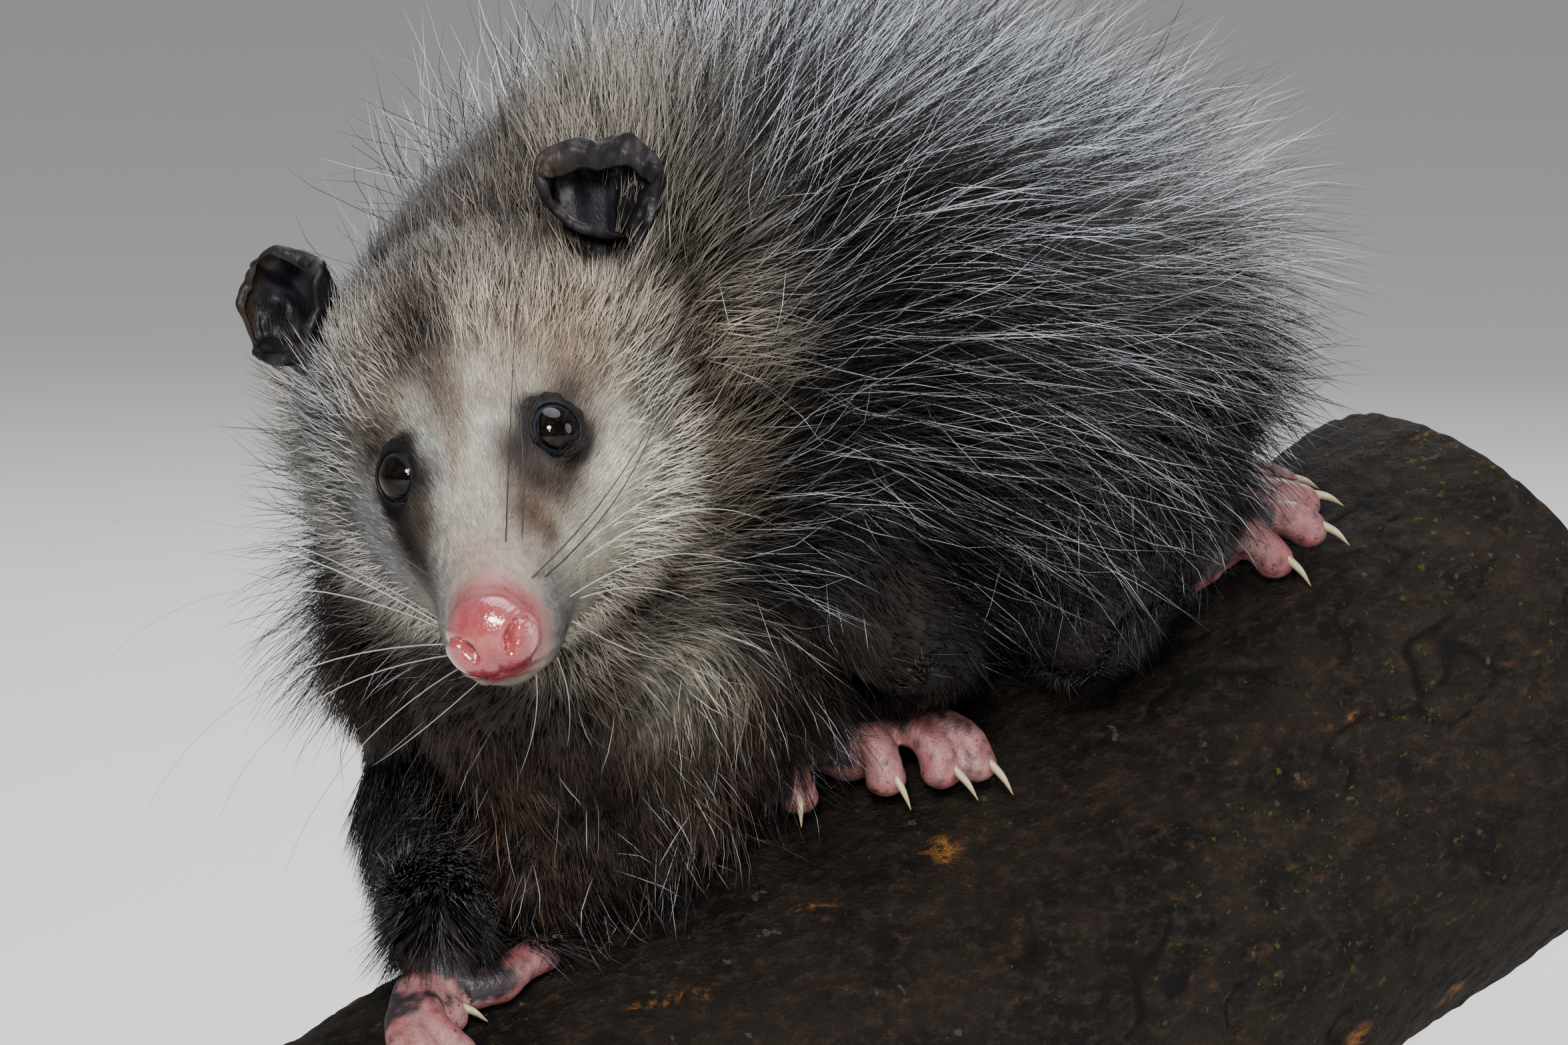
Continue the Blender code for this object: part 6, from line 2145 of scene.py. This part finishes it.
@dataclass
class Eyes:
    """Both eyeballs with their lids, worked out round each gaze."""

    head: Head
    opening: tuple = (5.5, 6.0)
    corners: tuple = (215.0, 300.0)
    lid: list = field(default_factory=lambda: [
        (0, 0), (0.08, 0.3), (0.32, 0.46), (0.66, 0.34), (1.05, -0.1), (1.6, -0.8), (2.4, -1.9), (3.2, -3),
        (2.4, -3.5), (1, -2.8), (0.2, -1.2)])

    def frame(self, side: float) -> tuple[Array, Array]:
        """An eye's centre in body places, and its across, up and gaze directions.

        Args:
            side: 1 for the left eye, -1 for the right.

        Returns:
            The centre, and a matrix of three rows.
        """
        centre, look = self.head.eye(side)
        look = look @ HEAD_AXES
        across = unit(np.cross(HEAD_AXES[2], look))
        return on_head(centre), np.array((across, np.cross(look, across), look))

    def eyeball(self, side: float) -> Surface:
        """A ball with a cornea: radius (1 + 0.05 exp(-(angle / 38 degrees)^2)) along each direction.

        Args:
            side: 1 for the left eye, -1 for the right.

        Returns:
            The closed surface.
        """
        centre, axes = self.frame(side)
        rings, sides = 48, 64
        b = np.linspace(0.012, math.pi - 0.012, rings)[:, None]
        a = turn(sides)[None, :]
        radius = self.head.eye_radius * (1 + 0.05 * np.exp(-(b / math.radians(38)) ** 2))
        across = radius * np.sin(b)
        p = np.stack([across * np.cos(a), across * np.sin(a), radius * np.cos(b) + 0 * a], -1)
        return Surface(centre + p.reshape(-1, 3) @ axes, grid_faces(rings, sides))

    def lids(self, side: float) -> Surface:
        """A fold round the opening: its profile rides on the ball, and is drawn out at the inner corner.

        Args:
            side: 1 for the left eye, -1 for the right.

        Returns:
            The closed surface.
        """
        centre, axes = self.frame(side)
        profile = ring_rows(self.lid, 3)
        sides = 96
        a = turn(sides)[:, None]
        inner = 1.5 * np.exp(-(((a - math.radians(self.corners[0 if side > 0 else 1])) / 0.35) ** 2))
        edge = 1 / np.sqrt((np.cos(a) / self.opening[0]) ** 2 + (np.sin(a) / self.opening[1]) ** 2) + inner
        waver = 1 + 0.10 * np.sin(a * 7 + side) + 0.06 * np.sin(a * 17)
        reach = edge + profile[None, :, 0] * np.where(profile[None, :, 0] > 1, waver, 1.0)
        on_ball = np.sqrt(self.head.eye_radius**2 - np.minimum(edge, 6.4) ** 2) * 1.03
        height = on_ball + profile[None, :, 1]
        p = np.stack([reach * np.cos(a), reach * np.sin(a), height + 0 * reach], -1)
        return Surface(centre + p.reshape(-1, 3) @ axes, torus_faces(sides, len(profile)))

    def build(self, eye: Material, lid: Material) -> None:
        """Makes the eyeballs in place of the solid ones, and the lids of both eyes as one piece.

        Args:
            eye: The eyeballs' finish.
            lid: The lids' finish.
        """
        for side, name in ((1.0, "eye_left"), (-1.0, "eye_right")):
            surface = self.eyeball(side)
            centre, axes = self.frame(side)
            v = (surface.points - centre) @ axes.T
            reach = np.where(v[:, 2] > 0, np.linalg.norm(v[:, :2], axis=1) / self.head.eye_radius, 2.0)
            spoke = np.arctan2(v[:, 1], v[:, 0]) / (2 * math.pi) + 0.5
            finished(marked(surface, name + "_wet", Reach=reach, Spoke=spoke), "eye", eye, name)
        finished(marked(together([self.lids(1.0), self.lids(-1.0)]), "eyelids"), "face_fur", lid)


@dataclass
class Claws:
    """The curved claws: flattened cones along the arc from inside each toe, over its rise, to the point."""

    radius: float = 1.15
    rise: float = 2.6
    reach: float = 3.0
    sides: int = 16

    def claw(self, digit: list, tip: tuple) -> tuple[Surface, Array]:
        """One claw.

        Args:
            digit: The toe's rows on the limb.
            tip: The claw's point on the limb.

        Returns:
            Its surface, and how far along each point lies.
        """
        pad, end, before = np.array(digit[-1][:3]), np.array(tip, float), np.array(digit[-2][:3])
        end = end + unit((end - pad) * np.array((1, 1, 0))) * self.reach
        middle = pad + (end - pad) * 0.58 + np.array((0, 0, self.rise))
        root = pad + (before - pad) * 0.2 + np.array((0, 0, 2.6))
        rows = curve_rows([(*root, self.radius), (*middle, self.radius * 0.8), (*end, 0.12)], 14)
        s = np.linspace(0, 1, len(rows))
        radius = rows[:, 3] * (1 - 0.1 * s)
        radius[-1] = 0.05
        centres = on_limb(rows[:, :3])
        _, away = limb_offset(centres[-1][None])
        return tube(centres, radius, self.sides, tuple(away[0]), 1.15), np.repeat(s, self.sides)

    def build(self, material: Material) -> None:
        """Makes every claw in place of its solid one.

        Args:
            material: The horn.
        """
        for leg in LEGS:
            for number, (digit, tip) in enumerate(zip(leg.foot["digits"], leg.foot["claw_tips"]), 1):
                if tip is None:
                    continue
                node = f"claw_{leg.foot_node}_{number}"
                shape, along = self.claw(digit, tip)
                spoke = np.tile(np.arange(self.sides) / self.sides, len(along) // self.sides)
                finished(marked(shape, node + "_horn", Along=along, Spoke=spoke), "claw", material, node)


@dataclass
class Whiskers:
    """Long stiff hairs: tapered tubes along root + t (tip - root) + 4 t (1 - t) sag, dark or white.

    Each row is (root as a head place, tip as a body place, sag as a body offset, width, whiteness).
    """

    rows: list = field(default_factory=lambda: [
        ((10, 46, -17), (-71, -38, 129), (6, -4, -3), 0.34, 0.05),
        ((12, 42, -19), (-82, -44, 117), (4, -4, -4), 0.3, 0),
        ((6, 40, -10), (-131, -45, 124), (0, 0, 4), 0.26, 0),
        ((9, 38, -12), (-134, -45, 113), (2, 0, 4), 0.24, 0.05),
        ((-12, 34, -16), (-142, 29, 75), (-3, 0, 3), 0.3, 0.1),
        ((-13, 38, -20), (-147, 11, 81), (-3, 0, 4), 0.26, 0.1),
        ((-17, -12, 14), (-124, 24, 116), (0, 0, 2), 0.24, 0),
        ((6, -9, 15), (-116, 1, 115), (0, 0, 2), 0.22, 0),
        ((19, 22, -24), (-59, -53, 65), (0, -2, 8), 0.34, 0.9),
        ((20, 20, -21), (-51, -45, 76), (0, -2, 7), 0.34, 0.85),
        ((15, 36, -27), (-68, -54, 56), (0, -2, 7), 0.28, 0.8),
        ((16, 30, -30), (-72, -46, 44), (0, -2, 5), 0.26, 0.8),
        ((14, 38, -32), (-87, -47, 37), (2, -2, -3), 0.24, 0.85),
        ((-14, 38, -24), (-171, 91, 53), (-6, 0, 14), 0.34, 0.75),
        ((-14, 36, -26), (-169, 66, 30), (-6, 0, 14), 0.32, 0.7),
        ((-13, 38, -29), (-170, 47, -2), (-8, 2, 10), 0.32, 0.7),
        ((-12, 40, -31), (-161, 32, -5), (-8, 2, 8), 0.3, 0.65),
        ((-11, 42, -33), (-155, 13, -14), (-6, 0, 4), 0.28, 0.6),
        ((-14, 34, -25), (-164, 74, 62), (-4, 0, 10), 0.26, 0.6),
        ((-8, 46, -36), (-146, -9, 13), (-2, 0, -2), 0.24, 0.8),
        ((4, 48, -38), (-123, -35, 12), (2, 0, 0), 0.24, 0.8),
        ((9, 44, -37), (-113, -40, 18), (2, 0, 0), 0.24, 0.85)])

    steps: int = 15
    sides: int = 5
    pale: Colour = (0.70, 0.70, 0.68)
    dark: Colour = (0.035, 0.025, 0.022)

    def build(self, material: Material) -> None:
        """Makes all whiskers as one piece.

        Args:
            material: The hair's finish.
        """
        surfaces, along, marks = [], [], []
        t = np.linspace(0, 1, self.steps)[:, None]
        for root, tip, sag, width, white in self.rows:
            start = on_head(root)
            line = start + t * (np.array(tip) - start) + 4 * t * (1 - t) * np.array(sag)
            radius = 0.5 * width * (1 - t[:, 0]) ** 0.7 + 0.03
            surfaces.append(tube(line, radius, self.sides, (0.31, 0.17, 0.93)))
            along.append(np.repeat(t[:, 0], self.sides))
            colour = np.array(self.pale) * white + np.array(self.dark) * (1 - white)
            marks.append(np.tile(colour, (self.steps * self.sides, 1)))
        along = np.concatenate(along)
        hairs = marked(together(surfaces), "whiskers", Along=along, Chance=0 * along + 0.5,
                       Mark=np.vstack(marks))
        finished(hairs, "face_fur", material)


# ---------------------------------------------------------------- limb and stand

@dataclass
class Limb:
    """The cut length of limb: slow swells, plates of bark between furrows, and two sawn ends."""

    start: float = -189.6
    end: float = 204.6
    rows: int = 285
    sides: int = 325
    wave: float = 1.2

    def relief(self, along: Array, angle: Array) -> tuple[Array, Array, Array, Array]:
        """The bark's height off its radius and its patterns.

        Args:
            along: Places along the limb, in millimetres.
            angle: Angles round it.

        Returns:
            Height in millimetres, and the furrow, flake and moss masks.
        """
        u, v = (along - self.start) / (self.end - self.start), angle / (2 * math.pi)
        swell = self.wave * (np.sin(3 * angle + along / 31.0) + np.sin(2 * angle - along / 47.0))
        swell = swell - 2 * self.wave
        line = lattice_noise(u, v, (13, 34), 6) + 0.35 * lattice_noise(u, v, (30, 60), 7)
        furrow = np.exp(-(line / 0.07) ** 2) * smoothstep(0.0, 0.5, lattice_noise(u, v, (9, 12), 8))
        plates = 0.55 * lattice_noise(u, v, (22, 28), 9) + 0.50 * lattice_noise(u, v, (55, 64), 10)
        grit = 0.40 * lattice_noise(u, v, (132, 150), 11)
        streak = lattice_noise(u, v + 0.30 * u, (4, 24), 12) + 0.22 * lattice_noise(u, v, (22, 40), 16)
        flake = np.exp(-(streak / 0.05) ** 2) * smoothstep(0.30, 0.55, lattice_noise(u, v, (17, 30), 13))
        moss = smoothstep(-0.35, 0.45, lattice_noise(u, v, (9, 9), 15))
        height = swell + plates + grit - 0.8 * furrow - 0.3 * flake
        return height, furrow, flake, moss

    def bark(self) -> Piece:
        """The bark as a grid along and round the limb: axis + away (radius + height).

        Returns:
            The bark's object.
        """
        along = np.linspace(self.start, self.end, self.rows)[:, None] + 0 * turn(self.sides)[None]
        angle = 0 * along + turn(self.sides)[None]
        height, furrow, flake, moss = self.relief(along, angle)
        places = on_limb(np.stack([along, angle * LIMB_RADIUS, height], -1).reshape(-1, 3))
        return marked(Surface(places, grid_faces(self.rows, self.sides)), "limb_bark", Depth=furrow.ravel(),
                      Flake=flake.ravel(), Moss=moss.ravel())

    def ends(self) -> Piece:
        """Both sawn ends as thin discs: rings of share r of the bark's own outline, with fine saw marks.

        Returns:
            The ends' object.
        """
        surfaces, share, spoke = [], [], []
        rings, sides = 36, 160
        r = np.linspace(0.004, 1.0, rings)[:, None]
        a = turn(sides)[None, :]
        for place, out in ((self.start, -1.0), (self.end, 1.0)):
            height = self.relief(np.full_like(a, place), a)[0] - 0.25
            radius = r * (LIMB_RADIUS + height)
            marks = 0.10 * np.sin(radius * np.cos(a) * 1.9) + 0.06 * np.sin(radius * np.sin(a) * 0.7)
            face = np.stack([place + out * (0.18 + marks * 0.5) + 0 * radius, (a + 0 * r) * LIMB_RADIUS,
                             radius - LIMB_RADIUS], -1)
            back = face[[-1, 0]].copy()
            back[..., 0] = place - out * 2.0
            places = on_limb(np.concatenate([face, back]).reshape(-1, 3))
            surfaces.append(Surface(places, grid_faces(rings + 2, sides)))
            share.append(np.repeat(np.append(r[:, 0], (1.0, 0.0)), sides))
            spoke.append(np.tile(a[0] / (2 * math.pi), rings + 2))
        return marked(together(surfaces), "limb_ends", Ring=np.concatenate(share),
                      Spoke=np.concatenate(spoke))

    def build(self) -> None:
        """Makes bark and ends in place of the solid limb."""
        finished(self.bark(), "bark", BarkFinish().material(), "perch")
        finished(self.ends(), "bark", EndGrainFinish().material(), "perch")


@dataclass
class Stand:
    """The display stand: the solid base and rods in their finishes, with a turned collar on each rod."""

    rods: tuple = (-95.0, 115.0)
    base_top: float = 18.0
    rod_radius: float = 6.0
    profile: list = field(default_factory=lambda: [
        (0.15, 0.1), (8.5, 0.1), (9.2, 0.6), (9.2, 1.6), (8.4, 2.3), (7.4, 2.7), (7, 3.6), (7, 5.4),
        (6.7, 6), (0.15, 6)])

    def collar(self, x: float) -> Surface:
        """A lathe-turned ring: the profile of (reach, height) carried round the rod.

        Args:
            x: Where the rod stands.

        Returns:
            The closed surface.
        """
        rows = curve_rows(self.profile[1:-1], 4)
        reach = np.concatenate([[self.rod_radius + 0.1], rows[:, 0], [self.rod_radius + 0.1]])[:, None]
        height = (np.concatenate([[rows[0, 1]], rows[:, 1], [rows[-1, 1]]]) + self.base_top)[:, None]
        sides = 48
        a = turn(sides)[None, :]
        p = np.stack([x + reach * np.cos(a), reach * np.sin(a), height + 0 * a], -1)
        return Surface(p.reshape(-1, 3) - GRIP, torus_faces(len(reach), sides))

    def build(self) -> None:
        """Dresses the solids and adds the collars."""
        walnut, steel = WalnutFinish().material(), SteelFinish().material()
        for name, material in (("stand_base", walnut), ("stand_rod_front", steel), ("stand_rod_rear", steel)):
            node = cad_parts[name]
            node.data.materials.clear()
            node.data.materials.append(material)
        collars = marked(together([self.collar(x) for x in self.rods]), "rod_collars")
        brass = SteelFinish("collar_brass", (0.52, 0.36, 0.15), (0.34, 0.22, 0.085)).material()
        finished(collars, "rod", brass)


# ---------------------------------------------------------------- studio

@dataclass(frozen=True)
class Lamp:
    """One soft light: where it stands in metres, how big and how strong it is."""

    name: str
    place: tuple
    size: float
    power: float
    colour: Colour = (1.0, 1.0, 1.0)


@dataclass
class Studio:
    """The floor, the sky, the lights and the camera."""

    target: tuple = (-0.035, 0.0, 0.298)
    azimuth: float = -40.0
    elevation: float = 8.0
    distance: float = 1.90
    lens: float = 180.0
    sensor: float = 36.0
    sky: tuple = (0.80, 0.82, 0.85, 1.0)
    sky_strength: float = 0.38
    contrast: str = 'AgX - Medium High Contrast'
    lit_point: tuple = (0.0, 0.0, 0.28)
    floor_reach: float = 8.0
    lamps: tuple = (
        Lamp("key", (-1.55, -1.55, 1.35), 0.6, 52.0, (1.0, 0.98, 0.95)),
        Lamp("near_lens", (-1.22, -1.30, 0.72), 0.10, 3.2),
        Lamp("top", (0.1, -0.1, 2.1), 1.6, 26.0, (0.95, 0.97, 1.0)),
        Lamp("rim", (1.5, 1.3, 1.4), 1.0, 18.0, (0.93, 0.96, 1.0)),
        Lamp("fill", (1.6, -1.8, 0.9), 1.4, 16.0))

    def camera(self) -> None:
        """Sets the camera on its sphere about the target, looking at it."""
        az, el = math.radians(self.azimuth), math.radians(self.elevation)
        back = Vector((math.sin(az) * math.cos(el), -math.cos(az) * math.cos(el), math.sin(el)))
        lens = bpy.data.cameras.new("camera")
        lens.lens, lens.sensor_width = self.lens, self.sensor
        camera = bpy.data.objects.new("camera", lens)
        bpy.context.scene.collection.objects.link(camera)
        camera.location = Vector(self.target) + back * self.distance
        camera.rotation_euler = back.to_track_quat('Z', 'Y').to_euler()
        bpy.context.scene.camera = camera

    def lights(self) -> None:
        """Adds each lamp as a round area light turned to the model."""
        for lamp in self.lamps:
            light = bpy.data.lights.new(lamp.name, 'AREA')
            light.shape = 'DISK'
            light.size, light.energy, light.color = lamp.size, lamp.power, lamp.colour
            thing = bpy.data.objects.new(lamp.name, light)
            bpy.context.scene.collection.objects.link(thing)
            thing.location = lamp.place
            back = Vector(lamp.place) - Vector(self.lit_point)
            thing.rotation_euler = back.to_track_quat('Z', 'Y').to_euler()

    def room(self) -> None:
        """A wide floor and a plain pale sky."""
        mesh = bpy.data.meshes.new("floor")
        corners = [(x * self.floor_reach, y * self.floor_reach, -0.0005)
                   for x, y in ((-1, -1), (1, -1), (1, 1), (-1, 1))]
        mesh.from_pydata(corners, [], [(0, 1, 2, 3)])
        floor = linked("floor", mesh)
        floor.data.materials.append(FloorFinish().material())
        world = bpy.data.worlds.new("sky")
        world.use_nodes = True
        background = world.node_tree.nodes["Background"]
        background.inputs["Color"].default_value = self.sky
        background.inputs["Strength"].default_value = self.sky_strength
        bpy.context.scene.world = world

    def build(self) -> None:
        """Sets up the whole studio."""
        self.camera()
        self.lights()
        self.room()
        bpy.context.scene.view_settings.look = self.contrast


def dress_skin(skin: Skin, body: Piece) -> None:
    """Marks the skin's points with its colours and dresses it.

    Args:
        skin: The skin's maker.
        body: Its object.
    """
    points, _, triangles, kinds = mesh_arrays(body.data)
    of_point = np.zeros(len(points), int)
    of_point[triangles.ravel()] = np.repeat(kinds, 3)
    mark = skin.markings.coat(points, Coat.head_share(points))
    mark[np.isin(of_point, [leg.region.value for leg in LEGS])] = np.array(skin.markings.leg)
    wet = smoothstep(54, 60, to_head(points)[:, 1]) * (of_point == Region.HEAD.value)
    run = skin.tail_run(points)[0] * (of_point == Region.TAIL.value)
    masks = {"Mark": mark, "Flesh": skin.flesh(points, of_point), "Bare": skin.bare(points, of_point),
             "Wet": wet, "Run": run}
    for name, values in masks.items():
        point_values(body.data, name, values)
    nodes = ["head", "neck", "torso", "tail_1", "tail_2", "tail_3"] + LEG_NODES
    finished(body, "face_fur", SkinFinish().material(), *nodes, *[leg.foot_node for leg in LEGS])


def main() -> None:
    """Builds the animal from its skin outwards, then limb, stand and studio."""
    logging.basicConfig(level=logging.INFO, format="%(message)s")
    Studio().build()
    Limb().build()
    Stand().build()
    skin = Skin(Head(), Markings())
    body = skin.build()
    coat = Coat(skin, EARS)
    coat.take(body.data)
    dress_skin(skin, body)
    face_finish = FurFinish("face_hair", 0.62, 0.44, 0.50).material()
    coat.build(face_finish, FurFinish().material())
    leather = LeatherFinish().material()
    for ear in EARS:
        ear.build(leather)
    Eyes(skin.head).build(EyeFinish().material(), LidFinish().material())
    Claws().build(ClawFinish().material())
    Whiskers().build(face_finish)


if __name__ == "__main__":
    main()
